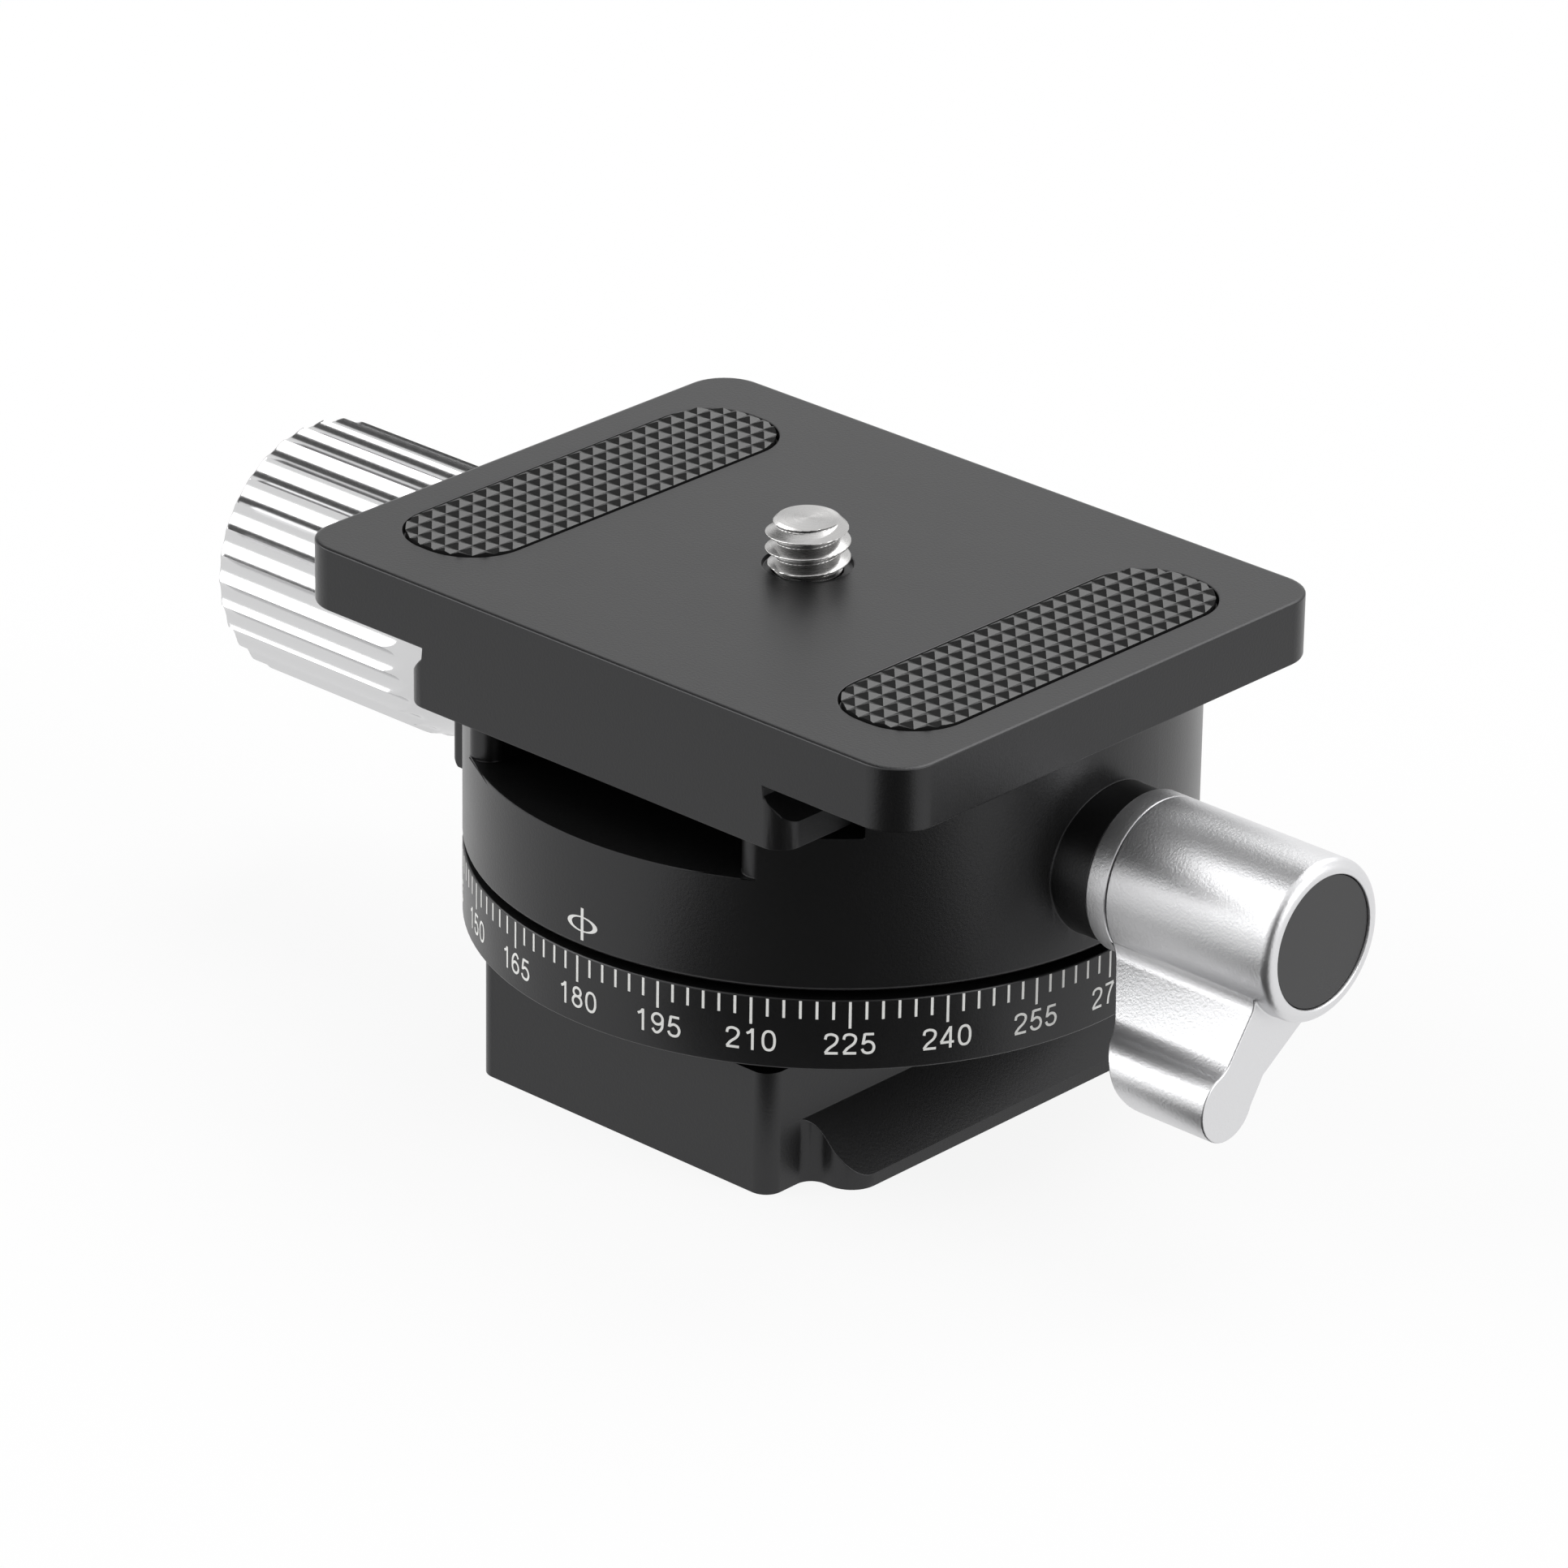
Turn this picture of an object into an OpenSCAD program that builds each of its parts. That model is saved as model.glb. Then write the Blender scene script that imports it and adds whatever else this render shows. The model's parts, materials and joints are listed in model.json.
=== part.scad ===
/* [Foot] */
// Length of the foot along the dovetail
foot_l = 45; // [42:0.5:50]
// Width of the foot's upright block
foot_w = 29.6; // [27:0.2:32]
// Height of the foot
foot_h = 9.9; // [9:0.1:13]
// Radius of the block's upright corners
foot_corner_r = 1.45; // [0.8:0.05:3]
// Width across the foot's dovetail lips
lip_w = 38; // [36:0.5:44]
// Length of the dovetail lips
lip_l = 35.6; // [30:0.2:38]
// Height of the lip's upright edge
lip_h = 1; // [0.6:0.1:2]
// Radius of the lip's rounded corners
lip_corner_r = 2.3; // [1:0.1:2.6]
// Radius of the hollow between lip and block
lip_hollow_r = 1.4; // [0.8:0.1:1.8]

/* [Tripod thread] */
// Radius of the tripod thread, 3/8 inch
bush_bore_r = 4.76; // [3.2:0.01:4.9]
// Outer radius of the thread bush
bush_r = 6.4; // [6:0.1:7.2]
// Length of the thread bush
bush_l = 8; // [6:0.2:8.4]

/* [Graduated ring] */
// Diameter of the ring and of the turntable
round_d = 55; // [54:0.5:60]
// Height of the ring's graduated rim
ring_h = 5.65; // [5:0.05:8]
// Step between the foot and the ring's rim
ring_step_h = 1.1; // [0.6:0.1:2]
// Radius of the step under the rim
ring_step_r = 20; // [18:0.5:22]
// Chamfer on the ring's edges
ring_chamfer = 0.1; // [0.05:0.05:0.6]
// Gap between the ring and the turntable
pan_gap = 0.6; // [0.3:0.1:1]

/* [Spindle] */
// Radius of the spindle's bottom flange
flange_r = 16; // [14:0.5:17]
// Thickness of the bottom flange
flange_h = 3; // [2:0.1:3.5]
// Radius of the spindle's neck
neck_r = 9; // [8:0.1:9.6]
// Radius of the brake drum
drum_r = 12; // [11:0.1:12.3]
// Height of the brake drum
drum_h = 3.9; // [3:0.1:4]
// Thickness of each sliding washer
slip_h = 0.5; // [0.3:0.1:0.6]
// Radius of the drum screw's thread
drum_screw_r = 2.5; // [2:0.1:3]
// Radius of the circle of foot screws
foot_screw_pcr = 12.2; // [11.8:0.1:12.4]
// Radius of the foot screws' thread
foot_screw_r = 1.5; // [1.2:0.1:1.6]
// Number of foot screws
foot_screw_n = 4; // [3:1:6]

/* [Turntable] */
// Height of the turntable up to the top of its jaw
table_h = 17.65; // [17:0.05:22]
// Height of the channel floor above the turntable's lower edge
floor_h = 8.7; // [8.5:0.1:9.2]
// Height of the ledges above the turntable's lower edge
ledge_h = 12.25; // [11.8:0.05:12.3]
// Distance from the pan axis to the channel wall on the knob's side
channel_knob_side = 12.9; // [12.5:0.1:13.1]
// Distance from the pan axis to the channel wall on the lever's side
channel_lever_side = 12.1; // [11.8:0.1:15]
// Rounding of the channel's upright outer edges
channel_edge_r = 1.5; // [0.8:0.1:2]
// Radius of the retaining ring
retainer_r = 19; // [18:0.1:19.2]
// Thickness of the retaining ring
retainer_h = 2; // [1.6:0.1:2.2]
// Radius of the circle of retaining ring screws
retainer_screw_pcr = 15; // [14.5:0.1:15.5]
// Radius of the retaining ring screws' thread
retainer_screw_r = 1.25; // [1:0.05:1.4]

/* [Clamp] */
// Length of the movable jaw
jaw_l = 29; // [26:0.5:32]
// Thickness of the movable jaw below its groove
jaw_t = 5.1; // [4.5:0.1:6]
// Depth of the dovetail groove in each jaw
groove_depth = 2.9; // [2.6:0.1:3.1]
// Height of the jaw's lower edge above the turntable's lower edge
jaw_bottom_h = 1.9; // [1.6:0.1:2.4]
// Rounding of the movable jaw's outer edges
jaw_edge_r = 0.7; // [0.3:0.1:1.2]
// Height of the clamp screw's axis above the turntable's lower edge
clamp_axis_h = 6.65; // [6.4:0.05:6.9]
// Radius of the clamp screw's thread
clamp_screw_r = 3; // [2.5:0.1:3]
// Depth of the clamp screw in the turntable
clamp_reach = 6.3; // [5:0.1:6.4]
// Distance of each guide pin from the clamp screw's axis
pin_offset = 9.5; // [9:0.1:10.5]
// Radius of the guide pins
pin_r = 1.5; // [1.2:0.1:1.6]
// Length of the guide pins
pin_l = 10.5; // [9.5:0.1:10.6]
// Mean radius of the jaw springs
spring_r = 2.05; // [1.95:0.05:2.1]
// Diameter of the jaw springs' wire
spring_wire_d = 0.45; // [0.3:0.05:0.5]
// Number of curls in each jaw spring
spring_curls = 5; // [4:1:5]

/* [Knob] */
// Diameter of the knob over its ribs
knob_d = 20.7; // [18:0.1:22]
// Length of the ribbed part
knob_grip_l = 17.6; // [12:0.1:24]
// Length of the flared collar
knob_collar_l = 11.4; // [8:0.1:13]
// Radius of the collar at the jaw
knob_collar_r = 6.2; // [5:0.1:7]
// Number of ribs
knob_ribs = 30; // [20:1:36]
// Depth of the grooves between the ribs
knob_groove = 0.55; // [0.3:0.05:0.7]
// Thickness of the washer between knob and jaw
knob_washer_h = 1; // [0.6:0.1:1.5]
// Radius of the disc in the knob's end
knob_cap_r = 6.5; // [5:0.1:7.5]

/* [Lock lever] */
// Height of the lever's axis above the turntable's lower edge
lock_axis_h = 6.9; // [6.6:0.05:7]
// Radius of the lever's barrel and collar
barrel_r = 6.2; // [5.8:0.1:6.6]
// Length of the lever's barrel
barrel_l = 15.3; // [13:0.1:20]
// Length of the lever's blade along the barrel
blade_l = 13.4; // [10:0.1:14]
// Thickness of the collar
collar_l = 1.85; // [1.2:0.05:3]
// Radius of the turntable's boss under the collar
boss_r = 5.9; // [5.5:0.1:6.2]
// Distance from the pan axis to the boss's face
boss_reach = 30.3; // [29:0.1:32]
// Distance from the lever's axis to the middle of the bulb
bulb_reach = 13.45; // [12.8:0.05:16]
// Radius of the bulb
bulb_r = 2.78; // [2.6:0.02:3.2]
// Half thickness of the blade on its hollow side
blade_half_t = 1.9; // [1.5:0.1:2.1]
// Radius of the hollow where the blade leaves the barrel
blade_root_r = 1.5; // [1.2:0.1:1.8]
// Radius of the hollow before the bulb
blade_neck_r = 2.5; // [2:0.1:2.8]
// Direction in which the blade points, seen from its end
blade_angle = 234.5; // [180:0.5:290]
// Slant of the blade's inner end, away from the turntable
blade_slant = 27.5; // [0:0.5:32]
// Radius of the inner corner at the blade's tip
blade_tip_r = 1.8; // [0.8:0.1:2.2]
// Radius of the black disc in the barrel's end
lever_cap_r = 5.05; // [4.5:0.05:5.3]
// Thickness of the black disc
lever_cap_h = 0.9; // [0.5:0.1:1]
// Radius of the lock screw's thread
lock_screw_r = 3; // [2.5:0.1:3]
// Length of the brake shoe along the lock screw
shoe_l = 4.8; // [4:0.1:5]
// How far the brake shoe backs off when the lever is released
shoe_travel = 0.25; // [0.1:0.05:0.4]
// Width of the brake shoe
shoe_w = 6.8; // [5:0.1:8]

/* [Plate] */
// Length of the plate's long edge
plate_w = 60.4; // [56:0.2:80]
// Length of the plate along its dovetail
plate_l = 46.1; // [40:0.1:60]
// Thickness of the plate's slab
slab_h = 4.98; // [4.5:0.02:7]
// Rounding of the slab's corners
slab_corner_r = 3.4; // [2:0.1:5]
// How far the plate is slid towards the front
plate_shift = 3; // [-8:0.1:8]
// Width of the plate's dovetail
dovetail_w = 38; // [37.8:0.1:38.2]
// Height of the dovetail's upright edge
dovetail_lip_h = 2.15; // [1.8:0.05:2.3]
// Depth of the dovetail's slanted flank
flank_d = 1.9; // [1.6:0.1:2]
// Rounding of the dovetail's upright corners
dovetail_corner_r = 1.9; // [0.5:0.1:2]
// Distance from the middle of the plate to the middle of each pad
pad_x = 21.9; // [20:0.1:24]
// Width of each pad
pad_w = 9.8; // [8:0.1:11]
// Length of each pad
pad_l = 35.4; // [30:0.1:37]
// Rounding of the pads' ends
pad_corner_r = 4.5; // [2:0.1:4.8]
// Depth of the pads' pockets
pad_depth = 0.8; // [0.5:0.1:1]
// How far the pads stand above the plate
pad_proud = 0.25; // [0.1:0.05:0.5]
// Coarse pyramids across a pad
pad_columns = 3; // [2:1:4]
// Coarse pyramids along a pad
pad_rows = 9; // [7:1:10]
// Height of the pyramids
pad_grain_h = 0.5; // [0.3:0.05:0.6]

/* [Camera screw] */
// Radius of the camera thread, 1/4 inch
camera_screw_r = 3.175; // [3.1:0.005:3.3]
// Height of the camera screw above the plate
camera_screw_out = 3.65; // [3.2:0.05:6]
// Radius of the screw's neck where it turns in the plate
camera_neck_r = 2.6; // [2.2:0.05:2.7]
// Radius of the camera screw's head
screw_head_r = 7.6; // [7:0.1:8]
// Thickness of the camera screw's head
screw_head_h = 2.6; // [2:0.1:2.8]
// Width of the coin slot in the head
coin_slot_w = 1.8; // [1.2:0.1:2.4]
// Depth of the head's pocket under the plate
head_pocket_h = 4.2; // [3.4:0.1:4.5]

/* [Clearances] */
// Radial clearance of a shaft that turns in its hole
run_gap = 0.05; // [0.03:0.01:0.08]
// Clearance of parts that slide past each other
slide_gap = 0.2; // [0.15:0.01:0.3]
// Clearance between the dovetail and the jaws
flank_gap = 0.1; // [0.08:0.01:0.15]
// Clearance around a let-in pad or cap
fit_gap = 0.15; // [0.08:0.01:0.2]

/* [Hidden] */
$fn = 96;
eps = 0.01;
big = 200;
round_r = round_d / 2;
ring_z = foot_h + ring_step_h;
ring_top = ring_z + ring_h;
table_z = ring_top + pan_gap;
table_top = table_z + table_h;
floor_z = table_z + floor_h;
ledge_z = table_z + ledge_h;
plate_gap = 0.7;
dovetail_z = ledge_z + plate_gap;
slab_z = table_top + flank_gap;
plate_top = slab_z + slab_h;
lip_top = dovetail_z + dovetail_lip_h;
flank_x = dovetail_w / 2 + lip_top + flank_gap * sqrt(2);
groove_x = dovetail_w / 2 + 1.2;
jaw_in_x = groove_x + 0.3;
nose_x = jaw_in_x - groove_depth;
jaw_out_x = jaw_in_x + jaw_t;
knob_flat_x = jaw_out_x - 0.4;
pocket_x = jaw_in_x - slide_gap;
pocket_l = jaw_l + 3 * slide_gap;
jaw_z = table_z + jaw_bottom_h;
clamp_z = table_z + clamp_axis_h;
lock_z = table_z + lock_axis_h;
retainer_z = table_z + slide_gap;
recess_top = retainer_z + retainer_h + run_gap;
washer_low_z = recess_top;
drum_z = washer_low_z + slip_h + run_gap;
drum_top = drum_z + drum_h;
washer_high_z = drum_top + run_gap;
cavity_top = washer_high_z + slip_h;
cavity_r = drum_r + run_gap;
flange_z = ring_top - flange_h;
boss_in_x = round_r - 1.5;
collar_x = boss_reach + fit_gap;
barrel_x = collar_x + collar_l + run_gap;
barrel_end = barrel_x + barrel_l;
shoe_x = drum_r + run_gap;
shoe_out_x = shoe_x + shoe_l;
shoe_slot_x = shoe_out_x + shoe_travel + slide_gap;
shoe_z = recess_top + run_gap;
shoe_top = cavity_top - run_gap;
washer_x = jaw_out_x + slide_gap / 4;
knob_x = washer_x + knob_washer_h;
knob_end = knob_x + knob_collar_l + knob_grip_l;
knob_r = knob_d / 2;
clamp_tip_x = pocket_x - clamp_reach;
pin_tip_x = jaw_out_x - 1.2;
spring_pocket_r = spring_r + spring_wire_d / 2 + 0.2;
spring_l = 4.2;
spring_x = pocket_x - spring_l;
thread_room_r = bush_bore_r + 0.5;
screw_turn = 45;
thread_relief_h = 0.4;
pad_grain_flat = 0.4;
head_sink = 0.4;
foot_screw_head_r = foot_screw_r * 1.85;
foot_screw_head_h = 2.6;
foot_screw_top = ring_top - head_sink;
drum_screw_head_r = drum_screw_r * 1.7;
drum_screw_head_h = 2.4;
drum_screw_top = drum_top - head_sink / 2;
drum_screw_end = flange_z + flange_h * 0.4;
retainer_screw_n = 4;
retainer_head_r = retainer_screw_r * 1.8;
retainer_head_h = retainer_h * 0.4;
retainer_screw_top = retainer_z + retainer_h * 2.2;
retainer_hex_h = retainer_head_h * 0.7;
lock_tip_x = shoe_out_x + run_gap;
lever_bore_end = barrel_end - barrel_l * 0.36;
lever_cap_x = barrel_end - lever_cap_h - slide_gap;
lever_screw_r = lock_screw_r / 2;
lever_head_r = lever_screw_r * 1.87;
lever_head_end = lever_cap_x - slide_gap * 1.5;
lever_head_h = lever_head_r * 0.93;
lever_head_x = lever_head_end - lever_head_h;
lever_screw_reach = lever_screw_r * 3.6;
lever_hex_h = lever_head_h / 2;
knob_cap_h = 0.85;
knob_seat = knob_cap_h + head_sink;
clamp_screw_end = knob_end - knob_grip_l / 4.4;

// A round bar along +X whose axis is at height z
module bar_x(x0, x1, r, z, y = 0) {
  translate([x0, y, z]) rotate([0, 90, 0]) cylinder(r = r, h = x1 - x0);
}

// A rectangle with round corners, about its middle
module round_rect(w, l, r) {
  for (x = [-1, 1], y = [-1, 1])
    translate([x * (w / 2 - r), y * (l / 2 - r)]) circle(r = r);
  square([w - 2 * r, l], center = true);
  square([w, l - 2 * r], center = true);
}

// An outline in X and Z, drawn out along Y about the middle
module along_y(l) {
  translate([0, l / 2, 0]) rotate([90, 0, 0]) linear_extrude(height = l) children();
}

// The same outline in all four quarters
module quarters() {
  for (turn = [0, 180]) rotate(turn) {
    children();
    mirror([1, 0]) children();
  }
}

// A six-sided socket that starts at height z
module hex_socket(z, depth, r) {
  translate([0, 0, z]) cylinder(r = r, h = depth, $fn = 6);
}

// Places on a circle
module around(n, r, turn = 0) {
  for (i = [0:n - 1]) rotate([0, 0, turn + i * 360 / n]) translate([r, 0, 0]) children();
}

// Foot

// Plan of the dovetail lips with their hollows towards the block
module lip_plan() {
  w = foot_w / 2;
  l = lip_l / 2;
  round_rect(lip_w, lip_l, lip_corner_r);
  quarters() difference() {
    translate([w - eps, l - eps]) square(lip_hollow_r + eps);
    translate([w + lip_hollow_r, l + lip_hollow_r]) circle(r = lip_hollow_r);
  }
}

module dovetail_section() {
  run = (lip_w - foot_w) / 2;
  polygon([[-lip_w / 2, 0], [lip_w / 2, 0], [lip_w / 2, lip_h], [foot_w / 2, lip_h + run],
           [foot_w / 2, foot_h], [-foot_w / 2, foot_h], [-foot_w / 2, lip_h + run],
           [-lip_w / 2, lip_h]]);
}

module foot() {
  color([0.09, 0.09, 0.1]) difference() {
    union() {
      linear_extrude(height = foot_h) round_rect(foot_w, foot_l, foot_corner_r);
      intersection() {
        linear_extrude(height = foot_h) lip_plan();
        along_y(foot_l) dovetail_section();
      }
    }
    translate([0, 0, -eps]) cylinder(r = bush_r, h = bush_l + eps);
    translate([0, 0, -eps]) cylinder(r = thread_room_r, h = foot_h + 1);
    around(foot_screw_n, foot_screw_pcr, screw_turn) translate([0, 0, -eps]) {
      cylinder(r = foot_screw_r + run_gap, h = foot_h + 1);
      cylinder(r = foot_screw_head_r + fit_gap, h = foot_screw_head_h + head_sink + eps);
    }
  }
}

module tripod_bush() {
  color([0.72, 0.72, 0.74]) difference() {
    cylinder(r = bush_r, h = bush_l);
    translate([0, 0, -1]) cylinder(r = bush_bore_r, h = bush_l + 2);
  }
}

module foot_screws() {
  color([0.7, 0.7, 0.72]) around(foot_screw_n, foot_screw_pcr, screw_turn) difference() {
    translate([0, 0, head_sink]) union() {
      cylinder(r = foot_screw_head_r, h = foot_screw_head_h);
      cylinder(r = foot_screw_r, h = foot_screw_top - head_sink);
    }
    hex_socket(0, foot_screw_head_h * 0.7, foot_screw_r * 0.95);
  }
}

// Graduated ring, with a recess on top for the spindle's flange
module graduated_ring() {
  c = ring_chamfer;
  color([0.07, 0.07, 0.08]) difference() {
    union() {
      rotate_extrude() polygon([[0, ring_z], [round_r - c, ring_z], [round_r, ring_z + c],
                                [round_r, ring_top - c], [round_r - c, ring_top], [0, ring_top]]);
      translate([0, 0, foot_h]) cylinder(r = ring_step_r, h = ring_step_h + eps);
    }
    translate([0, 0, flange_z]) cylinder(r = flange_r + run_gap, h = flange_h + 1);
    translate([0, 0, foot_h - 1]) {
      around(foot_screw_n, foot_screw_pcr, screw_turn)
        cylinder(r = foot_screw_r + run_gap, h = big);
      cylinder(r = thread_room_r, h = big);
    }
  }
}

module spindle() {
  color([0.62, 0.62, 0.64]) difference() {
    union() {
      translate([0, 0, flange_z]) cylinder(r = flange_r, h = flange_h);
      translate([0, 0, flange_z]) cylinder(r = neck_r, h = drum_z - flange_z);
    }
    around(foot_screw_n, foot_screw_pcr, screw_turn)
      translate([0, 0, flange_z - 1]) cylinder(r = foot_screw_r, h = foot_screw_top - flange_z + 1);
    translate([0, 0, drum_screw_end - head_sink / 2]) cylinder(r = drum_screw_r, h = big);
  }
}

module brake_drum() {
  color([0.75, 0.66, 0.42]) difference() {
    translate([0, 0, drum_z]) cylinder(r = drum_r, h = drum_h);
    translate([0, 0, drum_z - 1]) cylinder(r = drum_screw_r + run_gap, h = drum_h + 2);
    translate([0, 0, drum_screw_top - drum_screw_head_h])
      cylinder(r = drum_screw_head_r + fit_gap, h = drum_h);
  }
}

module drum_screw() {
  head_z = drum_screw_top - drum_screw_head_h;
  color([0.3, 0.3, 0.32]) difference() {
    union() {
      translate([0, 0, head_z]) cylinder(r = drum_screw_head_r, h = drum_screw_head_h);
      translate([0, 0, drum_screw_end]) cylinder(r = drum_screw_r, h = head_z - drum_screw_end + 1);
    }
    hex_socket(head_z + drum_screw_head_h / 3, 2, drum_screw_r * 0.95);
  }
}

// Turntable

// The sharp corner between a wall at x = c and the outside, less its round
module wall_corner(c) {
  r = channel_edge_r;
  cx = c + r;
  cy = sqrt(pow(round_r - r, 2) - cx * cx);
  k = (round_r + 1) / (round_r - r);
  difference() {
    polygon([[cx, cy], [c - 1, cy], [c - 1, round_r + 2], [cx, round_r + 2], [cx * k, cy * k]]);
    circle_at(cx, cy, r);
  }
}

module circle_at(x, y, r) {
  translate([x, y]) circle(r = r);
}

// Space between the jaws: the channel, both ledges and the fixed jaw's groove
module clamp_space() {
  along_y(big) polygon([
    [-channel_knob_side, floor_z], [channel_lever_side, floor_z],
    [channel_lever_side, ledge_z], [groove_x, ledge_z],
    [groove_x, flank_x - groove_x], [nose_x, flank_x - nose_x],
    [nose_x, big], [-big, big], [-big, ledge_z], [-channel_knob_side, ledge_z]]);
}

module turntable() {
  color([0.08, 0.08, 0.09]) difference() {
    union() {
      rotate_extrude() polygon([[0, table_z], [round_r - 0.3, table_z], [round_r, table_z + 0.3],
                                [round_r, table_top], [0, table_top]]);
      bar_x(boss_in_x, boss_reach, boss_r, lock_z);
    }
    clamp_space();
    translate([0, 0, floor_z]) for (turn = [0, 1]) mirror([0, turn, 0]) {
      mirror([1, 0, 0]) linear_extrude(height = big) wall_corner(channel_knob_side);
      linear_extrude(height = ledge_z - floor_z + eps) wall_corner(channel_lever_side);
    }
    translate([-big - pocket_x, -pocket_l / 2, jaw_z - slide_gap]) cube([big, pocket_l, big]);
    translate([-big - knob_flat_x, -big / 2, 0]) cube(big);
    translate([0, 0, table_z - 1]) cylinder(r = retainer_r + run_gap, h = recess_top - table_z + 1);
    translate([0, 0, table_z]) cylinder(r = cavity_r, h = cavity_top - table_z);
    around(retainer_screw_n, retainer_screw_pcr, screw_turn)
      translate([0, 0, recess_top - 1])
        cylinder(r = retainer_screw_r, h = retainer_screw_top - recess_top + 1 + head_sink);
    translate([drum_r - 1, -shoe_w / 2 - run_gap, recess_top - eps])
      cube([shoe_slot_x - drum_r + 1, shoe_w + 2 * run_gap, cavity_top - recess_top + eps]);
    bar_x(shoe_slot_x - 1, big, lock_screw_r + run_gap, lock_z);
    bar_x(-pocket_x - 1, -clamp_tip_x + 0.3, clamp_screw_r + run_gap, clamp_z);
    for (y = [-1, 1] * pin_offset) {
      bar_x(-pocket_x - 1, pin_l - pin_tip_x, pin_r, clamp_z, y);
      bar_x(-pocket_x - 1, -spring_x, spring_pocket_r, clamp_z, y);
    }
  }
}

module retaining_ring() {
  color([0.45, 0.45, 0.47]) difference() {
    translate([0, 0, retainer_z]) cylinder(r = retainer_r, h = retainer_h);
    translate([0, 0, retainer_z - 1]) cylinder(r = neck_r + slide_gap, h = retainer_h + 2);
    around(retainer_screw_n, retainer_screw_pcr, screw_turn) translate([0, 0, retainer_z - 1]) {
      cylinder(r = retainer_screw_r + run_gap, h = retainer_h + 2);
      cylinder(r = retainer_head_r + run_gap, h = retainer_head_h + 1);
    }
  }
}

module retaining_screws() {
  color([0.3, 0.3, 0.32]) around(retainer_screw_n, retainer_screw_pcr, screw_turn) difference() {
    translate([0, 0, retainer_z]) union() {
      cylinder(r = retainer_head_r, h = retainer_head_h);
      cylinder(r = retainer_screw_r, h = retainer_screw_top - retainer_z);
    }
    hex_socket(retainer_z - retainer_hex_h, 2 * retainer_hex_h, retainer_screw_r * 0.8);
  }
}

module slip_washer(z, r_in) {
  translate([0, 0, z]) difference() {
    cylinder(r = drum_r - 0.1, h = slip_h);
    translate([0, 0, -1]) cylinder(r = r_in, h = slip_h + 2);
  }
}

module slip_washer_lower() {
  color([0.92, 0.92, 0.88]) slip_washer(washer_low_z, neck_r + slide_gap);
}

module slip_washer_upper() {
  color([0.92, 0.92, 0.88]) slip_washer(washer_high_z, drum_r / 2);
}

// Clamp

module guide_pins() {
  color([0.72, 0.72, 0.74]) for (y = [-1, 1] * pin_offset)
    bar_x(-pin_tip_x, pin_l - pin_tip_x, pin_r, clamp_z, y);
}

// A wire wound round an axis along X, as one closed tube
function coil_point(t, x0, length, curls) =
  let (a = 360 * curls * t)
  [x0 + length * t, spring_r * cos(a), spring_r * sin(a)];

function coil_ring(t, x0, length, curls, sides) =
  let (a = 360 * curls * t,
       p = coil_point(t, x0, length, curls),
       along = [length, -2 * PI * curls * spring_r * sin(a), 2 * PI * curls * spring_r * cos(a)],
       f = along / norm(along),
       out = [0, cos(a), sin(a)],
       up = cross(f, out))
  [for (s = [0:sides - 1])
    p + spring_wire_d / 2 * (cos(360 * s / sides) * out + sin(360 * s / sides) * up)];

module coil(x0, length, curls) {
  sides = 6;
  rings = 10 * curls;
  points = [for (i = [0:rings]) each coil_ring(i / rings, x0, length, curls, sides)];
  walls = [for (i = [0:rings - 1], s = [0:sides - 1])
    let (a = i * sides + s, b = i * sides + (s + 1) % sides)
    each [[a, b, b + sides], [a, b + sides, a + sides]]];
  start = [for (s = [1:sides - 2]) [0, s + 1, s]];
  last = rings * sides;
  finish = [for (s = [1:sides - 2]) [last, last + s, last + s + 1]];
  polyhedron(points = points, faces = concat(walls, start, finish));
}

module jaw_springs() {
  clear = spring_wire_d / 2 + run_gap;
  length = jaw_in_x - spring_x - 2 * clear;
  color([0.7, 0.7, 0.72]) for (y = [-1, 1] * pin_offset)
    translate([0, y, clamp_z]) coil(clear - jaw_in_x, length, spring_curls);
}

module movable_jaw() {
  l = jaw_l;
  color([0.08, 0.08, 0.09]) difference() {
    intersection() {
      translate([-(jaw_out_x + nose_x) / 2, 0, jaw_z])
        linear_extrude(height = table_top - jaw_z) jaw_plan(jaw_out_x - nose_x, l);
      along_y(big) jaw_section();
    }
    bar_x(-big, 0, clamp_screw_r + slide_gap, clamp_z);
    for (y = [-1, 1] * pin_offset)
      bar_x(-pin_tip_x - slide_gap, 0, pin_r + run_gap, clamp_z, y);
  }
}

// Plan of the jaw: round corners outside, square ones towards the plate
module jaw_plan(w, l) {
  r = jaw_edge_r;
  for (y = [-1, 1]) translate([r - w / 2, y * (l / 2 - r)]) circle(r = r);
  translate([r - w / 2, -l / 2]) square([w - r, l]);
  translate([-w / 2, r - l / 2]) square([w, l - 2 * r]);
}

module jaw_section() {
  r = jaw_edge_r;
  polygon([[-jaw_out_x, jaw_z + r], [-jaw_out_x + r, jaw_z], [-jaw_in_x, jaw_z],
           [-jaw_in_x, flank_x - jaw_in_x], [-nose_x, flank_x - nose_x], [-nose_x, table_top],
           [-jaw_out_x + r, table_top], [-jaw_out_x, table_top - r]]);
}

module knob_washer() {
  color([0.85, 0.85, 0.83]) difference() {
    bar_x(-washer_x - knob_washer_h, -washer_x, knob_collar_r - 0.4, clamp_z);
    bar_x(-big, 0, clamp_screw_r + run_gap, clamp_z);
  }
}

// Radius of the knob's collar, from 0 at the jaw to 1 at the ribs
function collar_r(t) = knob_collar_r + (knob_r - knob_collar_r) * (1 - cos(180 * pow(t, 1.25))) / 2;

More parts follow.
